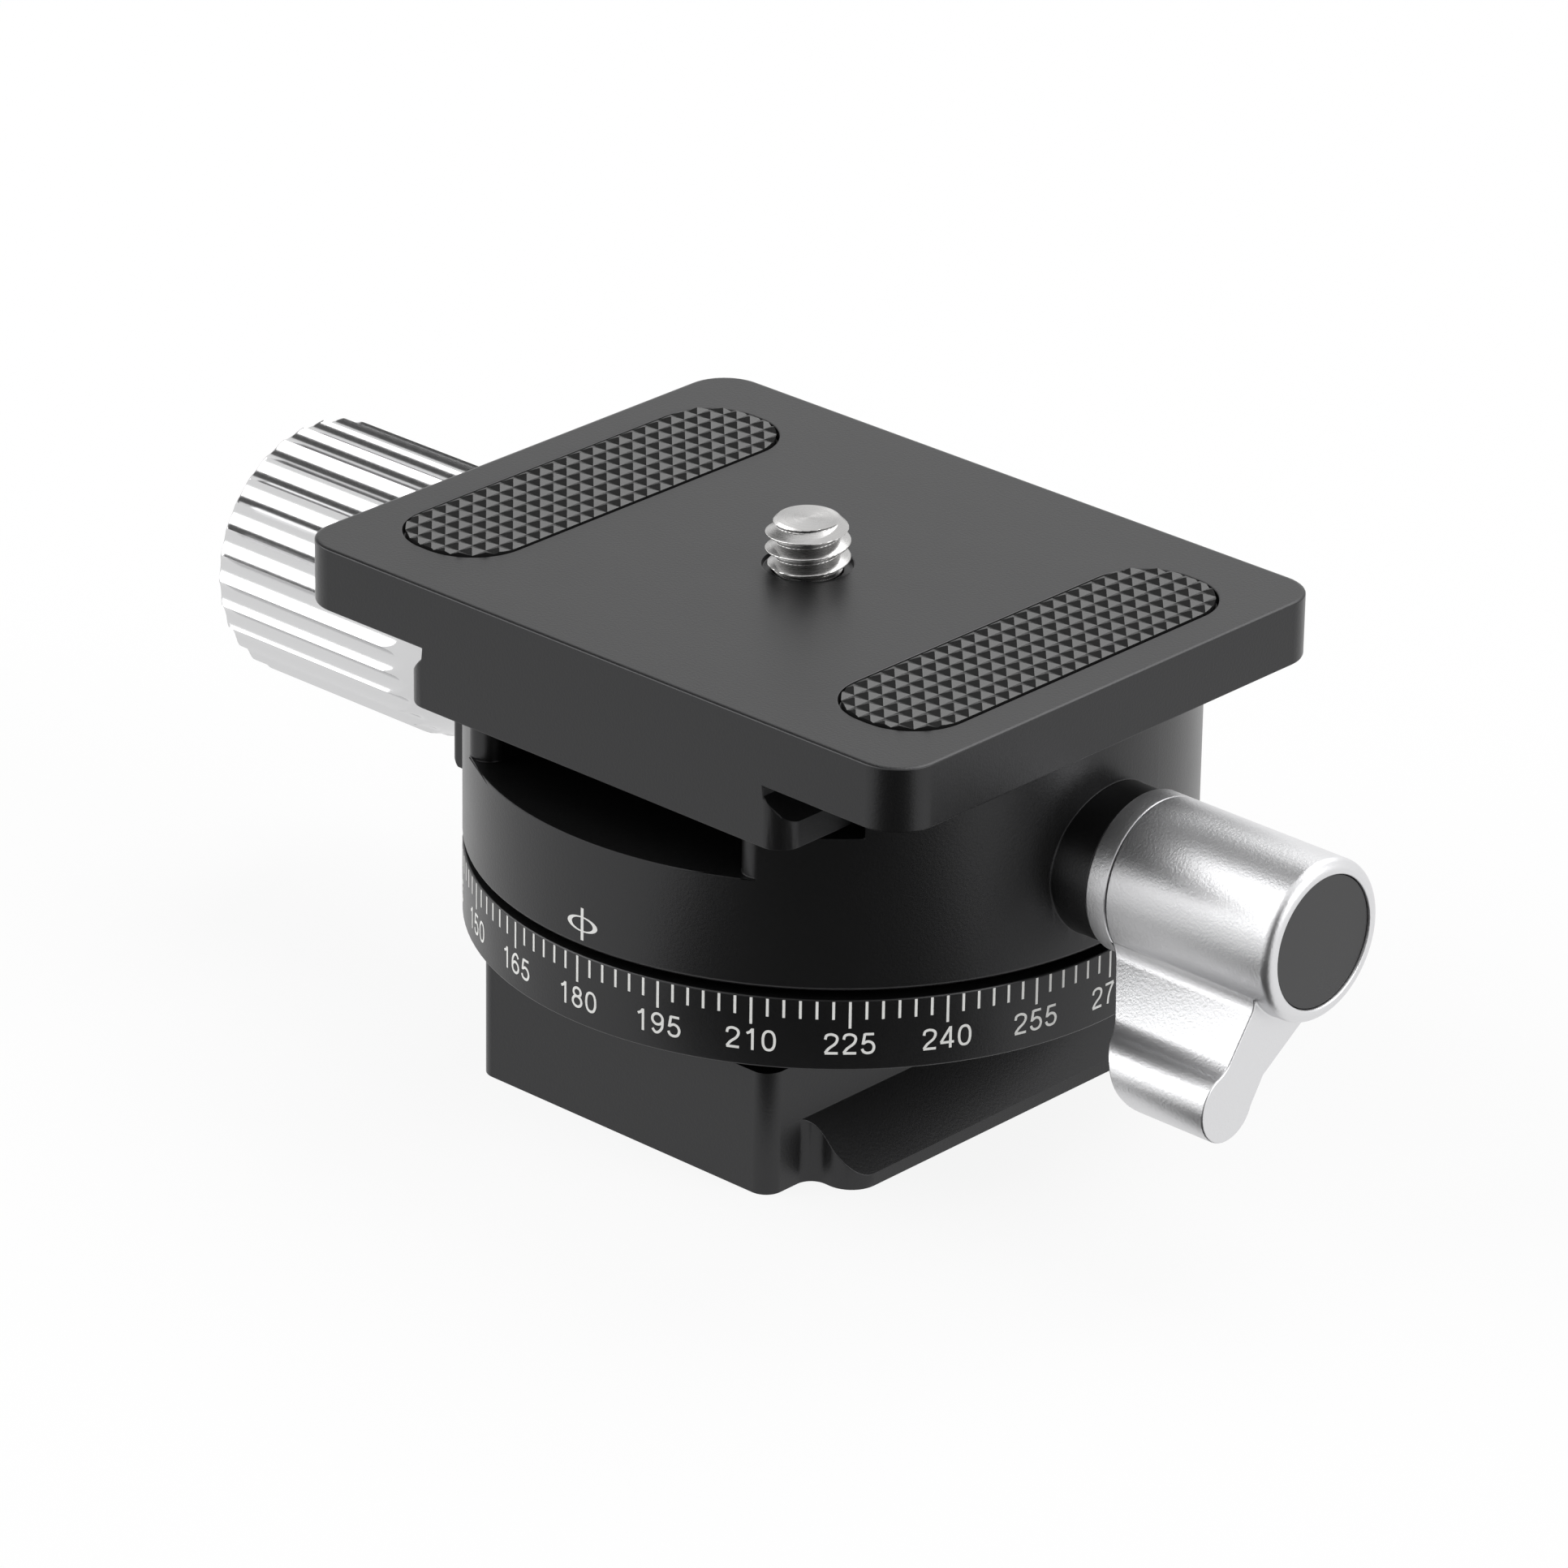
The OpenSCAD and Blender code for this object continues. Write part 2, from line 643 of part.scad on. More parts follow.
module knob() {
  r = knob_r;
  c = 0.7;
  steps = 10;
  wall = [for (i = [0:steps]) [collar_r(i / steps), knob_x + knob_collar_l * i / steps]];
  outline = concat([[0, knob_x]], wall, [[r, knob_end - c], [r - c, knob_end], [0, knob_end]]);
  groove_r = 1.45 * knob_groove;
  color([0.86, 0.86, 0.88]) difference() {
    translate([0, 0, clamp_z]) rotate([0, -90, 0]) rotate_extrude() polygon(outline);
    translate([0, 0, clamp_z]) rotate([0, -90, 0]) around(knob_ribs, r + groove_r - knob_groove)
      translate([0, 0, knob_x]) cylinder(r = groove_r, h = big);
    bar_x(-knob_end - 1, knob_seat - knob_end, knob_cap_r + fit_gap, clamp_z);
    bar_x(-clamp_screw_end, 0, clamp_screw_r, clamp_z);
  }
}

module knob_cap() {
  color([0.09, 0.09, 0.1])
    bar_x(knob_seat - knob_end - knob_cap_h, knob_seat - knob_end, knob_cap_r, clamp_z);
}

module clamp_screw() {
  color([0.7, 0.7, 0.72]) bar_x(-clamp_screw_end, -clamp_tip_x, clamp_screw_r, clamp_z);
}

// Lock

module brake_shoe() {
  color([0.78, 0.6, 0.3]) difference() {
    translate([shoe_x - 1, -shoe_w / 2, shoe_z]) cube([shoe_l + 1, shoe_w, shoe_top - shoe_z]);
    translate([0, 0, shoe_z - 1]) cylinder(r = drum_r + run_gap, h = shoe_top);
  }
}

module lock_screw() {
  color([0.7, 0.7, 0.72]) difference() {
    bar_x(lock_tip_x, lever_bore_end, lock_screw_r, lock_z);
    bar_x(lever_bore_end - lever_screw_reach - fit_gap, big, lever_screw_r, lock_z);
  }
}

module lever_collar() {
  color([0.78, 0.78, 0.8]) difference() {
    bar_x(collar_x, collar_x + collar_l, barrel_r, lock_z);
    bar_x(0, big, lock_screw_r, lock_z);
  }
}

// Blade outline: x along the blade from the lever's axis, y towards its straight side
module blade_plan() {
  t = blade_half_t;
  root = blade_root_r;
  neck = blade_neck_r;
  bite = 0.03;
  back = bulb_r - 0.1;
  root_x = sqrt(pow(barrel_r + root - bite, 2) - pow(t + root, 2));
  neck_x = bulb_reach - sqrt(pow(bulb_r + neck - bite, 2) - pow(t + neck, 2));
  difference() {
    union() {
      polygon([[0, -barrel_r * 0.8], [root_x, -t - root * 0.3], [root_x, -t], [neck_x, -t],
               [bulb_reach - bulb_r * 0.5, -bulb_r * 0.84], [bulb_reach, 0], [bulb_reach, back],
               [bulb_reach - bulb_r * 1.15, back - 0.15], [barrel_r * 0.55, barrel_r * 0.83], [0, 0]]);
      circle_at(bulb_reach, 0, bulb_r);
    }
    circle_at(root_x, -t - root, root);
    circle_at(neck_x, -t - neck, neck);
  }
}

// Blade from the side: x along the blade, y along the lever's axis from the barrel's inner end
module blade_side() {
  r = blade_tip_r;
  tip = bulb_reach + bulb_r;
  start = barrel_r * 0.94;
  x = tip - r;
  y = (x - start) * tan(blade_slant) + r / cos(blade_slant);
  polygon([[-barrel_r, 0], [start, 0], [x + r * sin(blade_slant), y - r * cos(blade_slant)],
           [tip, y], [tip, blade_l], [-barrel_r, blade_l]]);
  circle_at(x, y, r);
}

module lever() {
  f = 0.8;
  color([0.78, 0.78, 0.8]) difference() {
    union() {
      translate([0, 0, lock_z]) rotate([90, 0, 90]) translate([0, 0, barrel_x]) rotate(blade_angle)
        intersection() {
          linear_extrude(height = blade_l) blade_plan();
          rotate([90, 0, 0]) linear_extrude(height = 4 * barrel_r, center = true) blade_side();
        }
      translate([0, 0, lock_z]) rotate([0, 90, 0]) rotate_extrude() {
        square_to(barrel_r, barrel_x, barrel_end - f);
        square_to(barrel_r - f, barrel_x, barrel_end);
        circle_at(barrel_r - f, barrel_end - f, f);
      }
    }
    bar_x(barrel_x - 1, lever_bore_end, lock_screw_r, lock_z);
    bar_x(lever_bore_end - 1, big, lever_screw_r + run_gap, lock_z);
    bar_x(lever_head_x, big, lever_head_r + slide_gap, lock_z);
    bar_x(lever_cap_x, big, lever_cap_r + run_gap, lock_z);
  }
}

// A band from the axis to radius r, from x0 to x1 along it
module square_to(r, x0, x1) {
  translate([0, x0]) square([r, x1 - x0]);
}

module lever_screw() {
  color([0.3, 0.3, 0.32]) difference() {
    union() {
      bar_x(lever_head_x, lever_head_end, lever_head_r, lock_z);
      bar_x(lever_bore_end - lever_screw_reach, lever_head_end, lever_screw_r, lock_z);
    }
    translate([lever_head_end - lever_hex_h, 0, lock_z]) rotate([0, 90, 0])
      hex_socket(0, lever_head_h, lever_head_r / 2);
  }
}

module lever_cap() {
  color([0.1, 0.1, 0.11]) bar_x(lever_cap_x, lever_cap_x + lever_cap_h, lever_cap_r, lock_z);
}

// Plate

module plate_section() {
  w = dovetail_w / 2;
  polygon([[-w, dovetail_z], [w, dovetail_z], [w, lip_top], [w - flank_d, lip_top + flank_d],
           [w - flank_d, slab_z + 1], [flank_d - w, slab_z + 1], [flank_d - w, lip_top + flank_d],
           [-w, lip_top]]);
}

module plate() {
  color([0.08, 0.08, 0.09]) translate([0, -plate_shift, 0]) difference() {
    union() {
      translate([0, 0, slab_z]) linear_extrude(height = slab_h)
        round_rect(plate_w, plate_l, slab_corner_r);
      intersection() {
        along_y(big) plate_section();
        translate([0, 0, dovetail_z]) linear_extrude(height = slab_z - dovetail_z + 1)
          round_rect(dovetail_w, plate_l, dovetail_corner_r);
      }
    }
    translate([0, 0, dovetail_z - 1]) cylinder(r = screw_head_r + 2 * slide_gap, h = head_pocket_h + 1);
    translate([0, 0, dovetail_z]) cylinder(r = camera_neck_r + run_gap, h = big);
    translate([0, 0, plate_top - thread_relief_h]) cylinder(r = camera_screw_r + slide_gap, h = big);
    for (x = [-1, 1] * pad_x) translate([x, 0, plate_top - pad_depth])
      linear_extrude(height = big) pad_plan(fit_gap);
  }
}

module pad_plan(gap) {
  round_rect(pad_w + 2 * gap, pad_l + 2 * gap, pad_corner_r + gap);
}

// V-groove of the pads' grain, along y, for pyramids of the given pitch
module pad_groove(pitch) {
  rise = 1.4;
  half = rise * (pitch - pad_grain_flat) / 2;
  rotate([90, 0, 0]) linear_extrude(height = pad_l + 2, center = true)
    polygon([[0, -pad_grain_h], [half, (rise - 1) * pad_grain_h], [-half, (rise - 1) * pad_grain_h]]);
}

module pad(x) {
  pitch_x = pad_w / pad_columns;
  pitch_y = pad_l / pad_rows;
  color([0.05, 0.05, 0.05]) translate([x, -plate_shift, plate_top - pad_depth]) difference() {
    linear_extrude(height = pad_depth + pad_proud) pad_plan(0);
    translate([0, 0, pad_depth + pad_proud]) {
      for (i = [0:pad_columns]) translate([(i - pad_columns / 2) * pitch_x, 0, 0]) pad_groove(pitch_x);
      for (i = [0:pad_rows]) translate([0, (i - pad_rows / 2) * pitch_y, 0]) rotate(90) pad_groove(pitch_y);
    }
  }
}

module pad_left() {
  pad(-pad_x);
}

module pad_right() {
  pad(pad_x);
}

module camera_screw() {
  head_top = dovetail_z + head_pocket_h - run_gap;
  head_z = head_top - screw_head_h;
  thread_z = plate_top + 2 * run_gap;
  top = plate_top + camera_screw_out;
  r = camera_screw_r;
  c = 0.85;
  color([0.8, 0.8, 0.82]) translate([0, -plate_shift, 0]) difference() {
    rotate_extrude() polygon([[0, head_z], [screw_head_r, head_z], [screw_head_r, head_top],
      [camera_neck_r, head_top], [camera_neck_r, thread_z], [r, thread_z], [r, top - c],
      [r - c, top], [0, top]]);
    hex_socket(head_z - 1, 3, 2.75);
    translate([-screw_head_r - 1, -coin_slot_w / 2, head_z - 1])
      cube([2 * screw_head_r + 2, coin_slot_w, 2]);
  }
}

foot();
tripod_bush();
foot_screws();
graduated_ring();
spindle();
brake_drum();
drum_screw();
turntable();
retaining_ring();
retaining_screws();
slip_washer_lower();
slip_washer_upper();
guide_pins();
jaw_springs();
movable_jaw();
knob_washer();
knob();
knob_cap();
clamp_screw();
brake_shoe();
lock_screw();
lever_collar();
lever();
lever_screw();
lever_cap();
plate();
pad_left();
pad_right();
camera_screw();
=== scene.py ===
"""Panoramic base: turntable with quick-release clamp, plate, knob and lock lever."""

import json
import math

import bmesh
import bpy
from bpy.props import FloatProperty, FloatVectorProperty, IntProperty, PointerProperty
from mathutils import Matrix, Vector


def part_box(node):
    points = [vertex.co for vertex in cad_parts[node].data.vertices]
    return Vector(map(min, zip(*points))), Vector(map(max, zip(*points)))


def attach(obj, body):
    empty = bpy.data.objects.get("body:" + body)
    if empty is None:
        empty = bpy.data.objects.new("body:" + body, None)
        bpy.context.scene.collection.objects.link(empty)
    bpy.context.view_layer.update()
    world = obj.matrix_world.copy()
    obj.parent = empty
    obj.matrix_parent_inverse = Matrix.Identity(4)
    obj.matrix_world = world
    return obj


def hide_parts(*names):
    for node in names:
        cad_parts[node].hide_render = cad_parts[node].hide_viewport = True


bl_info = {
    "name": "Panoramic base",
    "version": (1, 0, 0),
    "blender": (4, 5, 0),
    "location": "3D View > Sidebar > Panoramic base",
    "description": "Dresses the packed frame of a panoramic base with its finished surfaces",
    "category": "Object",
}

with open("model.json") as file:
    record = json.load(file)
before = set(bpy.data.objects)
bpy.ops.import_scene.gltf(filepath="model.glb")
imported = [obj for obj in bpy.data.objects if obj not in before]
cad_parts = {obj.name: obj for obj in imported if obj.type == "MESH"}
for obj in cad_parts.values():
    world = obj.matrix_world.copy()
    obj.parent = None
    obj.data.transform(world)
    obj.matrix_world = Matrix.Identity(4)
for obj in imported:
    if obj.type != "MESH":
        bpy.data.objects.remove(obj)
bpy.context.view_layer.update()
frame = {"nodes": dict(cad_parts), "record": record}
MM = 0.001

# The print, in millimetres: how far it stands out of its surface, how much further each stroke that
# crosses another does, and how deep it reaches in.
PRINT_PROUD = 0.014
PRINT_LAYER = 0.002
PRINT_SUNK = 0.06

# Points of a CAD mesh that are closer than WELD metres are one point. What is shorter than CRUMB
# after a rounding is dropped, and ON_PLANE is the reach of a cut's plane.
WELD = 2e-6
CRUMB = 1e-6
ON_PLANE = 1e-7
# In degrees: a CAD edge that turns less than FLAT_TURN goes, and one that turns more than EDGE_TURN
# is eased.
FLAT_TURN = 0.4
EDGE_TURN = 28.0
# In degrees, where shading stays sharp.
SHARP_TURN = 35.0

# The photograph's view, in degrees.
VIEW_AZIMUTH = 42.56
VIEW_HEIGHT = 24.81
VIEW_ROLL = 0.88


def middle_of(node):
    """The middle of a CAD node's box."""
    lo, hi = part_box(node)
    return (lo + hi) / 2


# ---------------------------------------------------------------- values


class BaseSizes(bpy.types.PropertyGroup):
    edge: FloatProperty(
        name="Edge easing", description="Width of the small eased edges", default=0.14 * MM,
        subtype="DISTANCE", unit="LENGTH")
    lever_edge: FloatProperty(
        name="Lever edge",
        description="Width of the rounding on the lever, at most half the barrel's end ring",
        default=0.15 * MM, subtype="DISTANCE", unit="LENGTH")
    slab_edge: FloatProperty(
        name="Plate edge", description="Width of the rounding round the plate's slab", default=0.38 * MM,
        subtype="DISTANCE", unit="LENGTH")
    tick_long: FloatProperty(
        name="Long tick", description="Height of the tick above each number", default=2.12 * MM,
        subtype="DISTANCE", unit="LENGTH")
    tick_short: FloatProperty(
        name="Short tick", description="Height of the other ticks", default=1.42 * MM,
        subtype="DISTANCE", unit="LENGTH")
    tick_width: FloatProperty(
        name="Tick width", description="Width of a tick", default=0.2 * MM,
        subtype="DISTANCE", unit="LENGTH")
    tick_count: IntProperty(
        name="Ticks", description="Number of ticks round the ring", default=144)
    scale_turn: FloatProperty(
        name="Scale turn", description="How far the scale stands round from the foot's middle",
        default=math.radians(0.7), subtype="ANGLE", unit="ROTATION")
    index_turn: FloatProperty(
        name="Index turn", description="How far the index mark stands round from the turntable's middle",
        default=math.radians(1.67), subtype="ANGLE", unit="ROTATION")
    digit_height: FloatProperty(
        name="Digit height", description="Height of the scale's numbers", default=1.72 * MM,
        subtype="DISTANCE", unit="LENGTH")
    knob_flutes: IntProperty(
        name="Knob flutes", description="Number of flutes round the knob", default=30)
    knob_flute_depth: FloatProperty(
        name="Flute depth", description="Depth of the knob's flutes", default=0.58 * MM,
        subtype="DISTANCE", unit="LENGTH")
    pad_pitch: FloatProperty(
        name="Pad grain", description="Distance between the pads' small pyramids", default=1.43 * MM,
        subtype="DISTANCE", unit="LENGTH")
    pad_relief: FloatProperty(
        name="Pad relief", description="Height of the pyramids on the rubber pads", default=0.25 * MM,
        subtype="DISTANCE", unit="LENGTH")
    thread_pitch: FloatProperty(
        name="Camera thread", description="Pitch of the camera screw's thread", default=1.27 * MM,
        subtype="DISTANCE", unit="LENGTH")


class BaseColours(bpy.types.PropertyGroup):
    anodised: FloatVectorProperty(
        name="Black anodised", description="Colour of the anodised parts", default=(0.043, 0.043, 0.044, 1),
        subtype="COLOR", size=4, min=0, max=1)
    satin: FloatVectorProperty(
        name="Satin silver", description="Colour of the blasted lever", default=(0.7, 0.7, 0.71, 1),
        subtype="COLOR", size=4, min=0, max=1)
    polished: FloatVectorProperty(
        name="Polished silver", description="Colour of the turned knob", default=(0.63, 0.63, 0.635, 1),
        subtype="COLOR", size=4, min=0, max=1)
    steel: FloatVectorProperty(
        name="Steel", description="Colour of the screws", default=(0.5, 0.495, 0.49, 1),
        subtype="COLOR", size=4, min=0, max=1)
    brass: FloatVectorProperty(
        name="Brass", description="Colour of the bush and shoe", default=(0.72, 0.5, 0.2, 1),
        subtype="COLOR", size=4, min=0, max=1)
    nylon: FloatVectorProperty(
        name="Nylon", description="Colour of the washers", default=(0.78, 0.77, 0.72, 1),
        subtype="COLOR", size=4, min=0, max=1)
    disc: FloatVectorProperty(
        name="Black disc", description="Colour of the discs in the lever and knob",
        default=(0.02, 0.02, 0.021, 1), subtype="COLOR", size=4, min=0, max=1)
    rubber: FloatVectorProperty(
        name="Rubber", description="Colour of the pads", default=(0.017, 0.017, 0.017, 1),
        subtype="COLOR", size=4, min=0, max=1)
    print_white: FloatVectorProperty(
        name="White print", description="Colour of the scale's print", default=(0.8, 0.8, 0.78, 1),
        subtype="COLOR", size=4, min=0, max=1)
    floor: FloatVectorProperty(
        name="Floor", description="Colour of the floor", default=(0.86, 0.86, 0.86, 1),
        subtype="COLOR", size=4, min=0, max=1)


def sizes():
    return bpy.context.scene.base_sizes


def colours():
    return bpy.context.scene.base_colours


# ---------------------------------------------------------------- shader groups


def new_group(name, inputs, outputs):
    """A shader node group with named sockets, and its first and last node."""
    group = bpy.data.node_groups.new(name, "ShaderNodeTree")
    for label, kind, default in inputs:
        socket = group.interface.new_socket(name=label, in_out="INPUT", socket_type=kind)
        if default is not None:
            socket.default_value = default
    for label, kind in outputs:
        group.interface.new_socket(name=label, in_out="OUTPUT", socket_type=kind)
    start = group.nodes.new("NodeGroupInput")
    end = group.nodes.new("NodeGroupOutput")
    start.location, end.location = (-900, 0), (900, 0)
    return group, start, end


def math_node(tree, kind, a, b=None, clamp=False):
    node = tree.nodes.new("ShaderNodeMath")
    node.operation = kind
    node.use_clamp = clamp
    for socket, value in zip(node.inputs, (a, b)):
        if value is None:
            continue
        if isinstance(value, (int, float)):
            socket.default_value = value
        else:
            tree.links.new(value, socket)
    return node.outputs[0]


def noise_node(tree, vector, scale, detail, rough):
    node = tree.nodes.new("ShaderNodeTexNoise")
    node.inputs["Detail"].default_value = detail
    node.inputs["Roughness"].default_value = rough
    tree.links.new(vector, node.inputs["Vector"])
    if isinstance(scale, (int, float)):
        node.inputs["Scale"].default_value = scale
    else:
        tree.links.new(scale, node.inputs["Scale"])
    return node.outputs["Fac"]


def stretch(tree, value, low, high):
    """Spreads a value between low and high over 0 to 1."""
    node = tree.nodes.new("ShaderNodeMapRange")
    tree.links.new(value, node.inputs["Value"])
    for label, number in (("From Min", low), ("From Max", high), ("To Min", 0.0), ("To Max", 1.0)):
        node.inputs[label].default_value = number
    return node.outputs["Result"]


def swinging_roughness(tree, inputs, value):
    """The base roughness, less or more by the spread as the value goes from 0 to 1."""
    offset = math_node(tree, "SUBTRACT", value, 0.5)
    swing = math_node(tree, "MULTIPLY", offset, inputs["Spread"])
    twice = math_node(tree, "MULTIPLY", swing, 2.0)
    return math_node(tree, "ADD", inputs["Base roughness"], twice, True)


def make_grain_group():
    """Fine grain of a blasted or moulded surface, with broad uneven patches in its gloss."""
    fine_share, patch_share = 0.6, 0.4
    patches_per_metre, patch_low, patch_high = 130.0, 0.3, 0.7
    group, start, end = new_group(
        "Surface grain",
        [("Scale", "NodeSocketFloat", 6000.0), ("Base roughness", "NodeSocketFloat", 0.4),
         ("Spread", "NodeSocketFloat", 0.1)],
        [("Height", "NodeSocketFloat"), ("Roughness", "NodeSocketFloat")])
    place = group.nodes.new("ShaderNodeTexCoord").outputs["Object"]
    fine = noise_node(group, place, start.outputs["Scale"], 3.0, 0.6)
    patch = stretch(group, noise_node(group, place, patches_per_metre, 4.0, 0.6), patch_low, patch_high)
    blend = math_node(group, "ADD", math_node(group, "MULTIPLY", fine, fine_share),
                      math_node(group, "MULTIPLY", patch, patch_share))
    group.links.new(fine, end.inputs["Height"])
    group.links.new(swinging_roughness(group, start.outputs, blend), end.inputs["Roughness"])


def make_turning_group():
    """Fine concentric lines that a lathe leaves round an axis."""
    group, start, end = new_group(
        "Lathe lines",
        [("Centre", "NodeSocketVector", (0, 0, 0)), ("Axis", "NodeSocketVector", (0, 0, 1)),
         ("Lines", "NodeSocketFloat", 5000.0), ("Base roughness", "NodeSocketFloat", 0.2),
         ("Spread", "NodeSocketFloat", 0.1)],
        [("Height", "NodeSocketFloat"), ("Roughness", "NodeSocketFloat")])
    place = group.nodes.new("ShaderNodeTexCoord").outputs["Object"]

    def vector_math(kind, a, b=None, scale=None):
        node = group.nodes.new("ShaderNodeVectorMath")
        node.operation = kind
        group.links.new(a, node.inputs[0])
        if b is not None:
            group.links.new(b, node.inputs[1])
        if scale is not None:
            group.links.new(scale, node.inputs["Scale"])
        return node

    away = vector_math("SUBTRACT", place, start.outputs["Centre"]).outputs["Vector"]
    along = vector_math("DOT_PRODUCT", away, start.outputs["Axis"]).outputs["Value"]
    shaft = vector_math("SCALE", start.outputs["Axis"], scale=along).outputs["Vector"]
    out = vector_math("LENGTH", vector_math("SUBTRACT", away, shaft).outputs["Vector"]).outputs["Value"]
    join = group.nodes.new("ShaderNodeCombineXYZ")
    group.links.new(along, join.inputs["X"])
    group.links.new(out, join.inputs["Y"])
    lines = noise_node(group, join.outputs["Vector"], start.outputs["Lines"], 2.0, 0.7)
    group.links.new(lines, end.inputs["Height"])
    group.links.new(swinging_roughness(group, start.outputs, lines), end.inputs["Roughness"])


def new_material(name):
    """A finish of the scene's own, its node tree and its shader."""
    mat = bpy.data.materials.new(f"look_{name}")
    mat.use_nodes = True
    return mat, mat.node_tree, mat.node_tree.nodes["Principled BSDF"]


def look(name):
    """A finish by its name. The frame's own materials go by the plain names."""
    return bpy.data.materials[f"look_{name}"]


def place_group(tree, name, **values):
    node = tree.nodes.new("ShaderNodeGroup")
    node.node_tree = bpy.data.node_groups[name]
    for label, value in values.items():
        node.inputs[label.replace("_", " ")].default_value = value
    return node


def bump(tree, shader, height, distance):
    node = tree.nodes.new("ShaderNodeBump")
    node.inputs["Strength"].default_value = 1.0
    node.inputs["Distance"].default_value = distance
    tree.links.new(height, node.inputs["Height"])
    tree.links.new(node.outputs["Normal"], shader.inputs["Normal"])


def grained(name, colour, roughness, spread, grains, depth, metallic=0.0, specular=0.5):
    """A grained finish: anodised, blasted, moulded or rubber, with so many grains per metre."""
    tree, shader = new_material(name)[1:]
    grain = place_group(tree, "Surface grain", Scale=grains, Base_roughness=roughness, Spread=spread)
    tree.links.new(grain.outputs["Roughness"], shader.inputs["Roughness"])
    bump(tree, shader, grain.outputs["Height"], depth)
    shader.inputs["Base Color"].default_value = colour
    shader.inputs["Metallic"].default_value = metallic
    shader.inputs["Specular IOR Level"].default_value = specular


def turned(name, colour, roughness, spread, lines, depth, centre, axis, stretched=0.0):
    """A metal surface with lathe lines round one axis. Stretched lengthens its highlights round z."""
    tree, shader = new_material(name)[1:]
    turning = place_group(tree, "Lathe lines", Centre=centre, Axis=axis, Lines=lines,
                          Base_roughness=roughness, Spread=spread)
    tree.links.new(turning.outputs["Roughness"], shader.inputs["Roughness"])
    bump(tree, shader, turning.outputs["Height"], depth)
    shader.inputs["Base Color"].default_value = colour
    shader.inputs["Metallic"].default_value = 1.0
    if stretched:
        shader.inputs["Anisotropic"].default_value = stretched
        way = tree.nodes.new("ShaderNodeTangent")
        way.direction_type = "RADIAL"
        way.axis = "Z"
        tree.links.new(way.outputs["Tangent"], shader.inputs["Tangent"])


def make_materials():
    """Each finish: colour, roughness and its spread, grains or lines per metre, and their depth."""
    make_grain_group()
    make_turning_group()
    c = colours()
    along_x, along_z = (1, 0, 0), (0, 0, 1)
    knob_axis = (0, 0, middle_of("knob").z)
    lever_axis = (0, 0, middle_of("lever_collar").z)
    screw_axis = (0, middle_of("camera_screw").y, 0)
    pan_axis = (0, 0, 0)
    grained("black_anodised", c.anodised, 0.34, 0.03, 4600.0, 0.000012, metallic=0.9)
    grained("black_anodised_satin", c.anodised, 0.4, 0.03, 4600.0, 0.000012, metallic=0.9)
    grained("blasted_silver", c.satin, 0.37, 0.03, 4600.0, 0.00002, metallic=1.0)
    grained("moulded_black", c.disc, 0.3, 0.08, 6000.0, 0.000003)
    grained("rubber", c.rubber, 0.25, 0.03, 4200.0, 0.000002, specular=0.36)
    grained("white_print", c.print_white, 0.55, 0.1, 9000.0, 0.000002, specular=0.3)
    grained("nylon", c.nylon, 0.45, 0.1, 5000.0, 0.000003, specular=0.4)
    turned("polished_silver", c.polished, 0.2, 0.04, 1400.0, 0.0000004, knob_axis, along_x)
    turned("turned_collar", c.satin, 0.24, 0.1, 3000.0, 0.000002, lever_axis, along_x)
    turned("turned_steel", c.steel, 0.26, 0.12, 4200.0, 0.000002, screw_axis, along_z, stretched=0.7)
    turned("steel", c.steel, 0.3, 0.1, 3000.0, 0.000002, pan_axis, along_z)
    turned("brass", c.brass, 0.3, 0.1, 3000.0, 0.000002, pan_axis, along_z)


# ---------------------------------------------------------------- mesh help


def finish_piece(obj, body, material, nodes=(), smooth=SHARP_TURN, weighted=False):
    """Gives a piece its finish, its shading and its body, and hides the CAD nodes that it stands for."""
    obj.data.materials.clear()
    obj.data.materials.append(look(material))
    obj.data.shade_smooth()
    obj.data.set_sharp_from_angle(angle=math.radians(smooth))
    if weighted:
        mod = obj.modifiers.new("Face weighted normals", "WEIGHTED_NORMAL")
        mod.keep_sharp = True
        mod.weight = 60
    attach(obj, body)
    if nodes:
        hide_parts(*nodes)


def spilled_area(bm):
    """How much more the faces cover once cut in triangles: a crushed face spills over a hole."""
    cut = sum((b.vert.co - a.vert.co).cross(c.vert.co - a.vert.co).length / 2
              for a, b, c in bm.calc_loop_triangles())
    return cut - sum(face.calc_area() for face in bm.faces)


def link_mesh(name, bm):
    """An object of a bmesh, without the normals that came with a CAD mesh."""
    most_spilled = 2 * MM * MM
    mesh = bpy.data.meshes.new(name)
    bm.normal_update()
    if spilled_area(bm) > most_spilled:
        raise RuntimeError(f"{name} has a face that was crushed by its rounding")
    bm.to_mesh(mesh)
    bm.free()
    if "custom_normal" in mesh.attributes:
        mesh.attributes.remove(mesh.attributes["custom_normal"])
    obj = bpy.data.objects.new(name, mesh)
    bpy.context.scene.collection.objects.link(obj)
    return obj


def solid_of(node):
    """A bmesh of a CAD node's own faces, with flat faces joined."""
    bm = bmesh.new()
    bm.from_mesh(frame["nodes"][node].data)
    bmesh.ops.remove_doubles(bm, verts=bm.verts, dist=WELD)
    bmesh.ops.dissolve_limit(bm, angle_limit=math.radians(FLAT_TURN), verts=bm.verts, edges=bm.edges)
    return bm


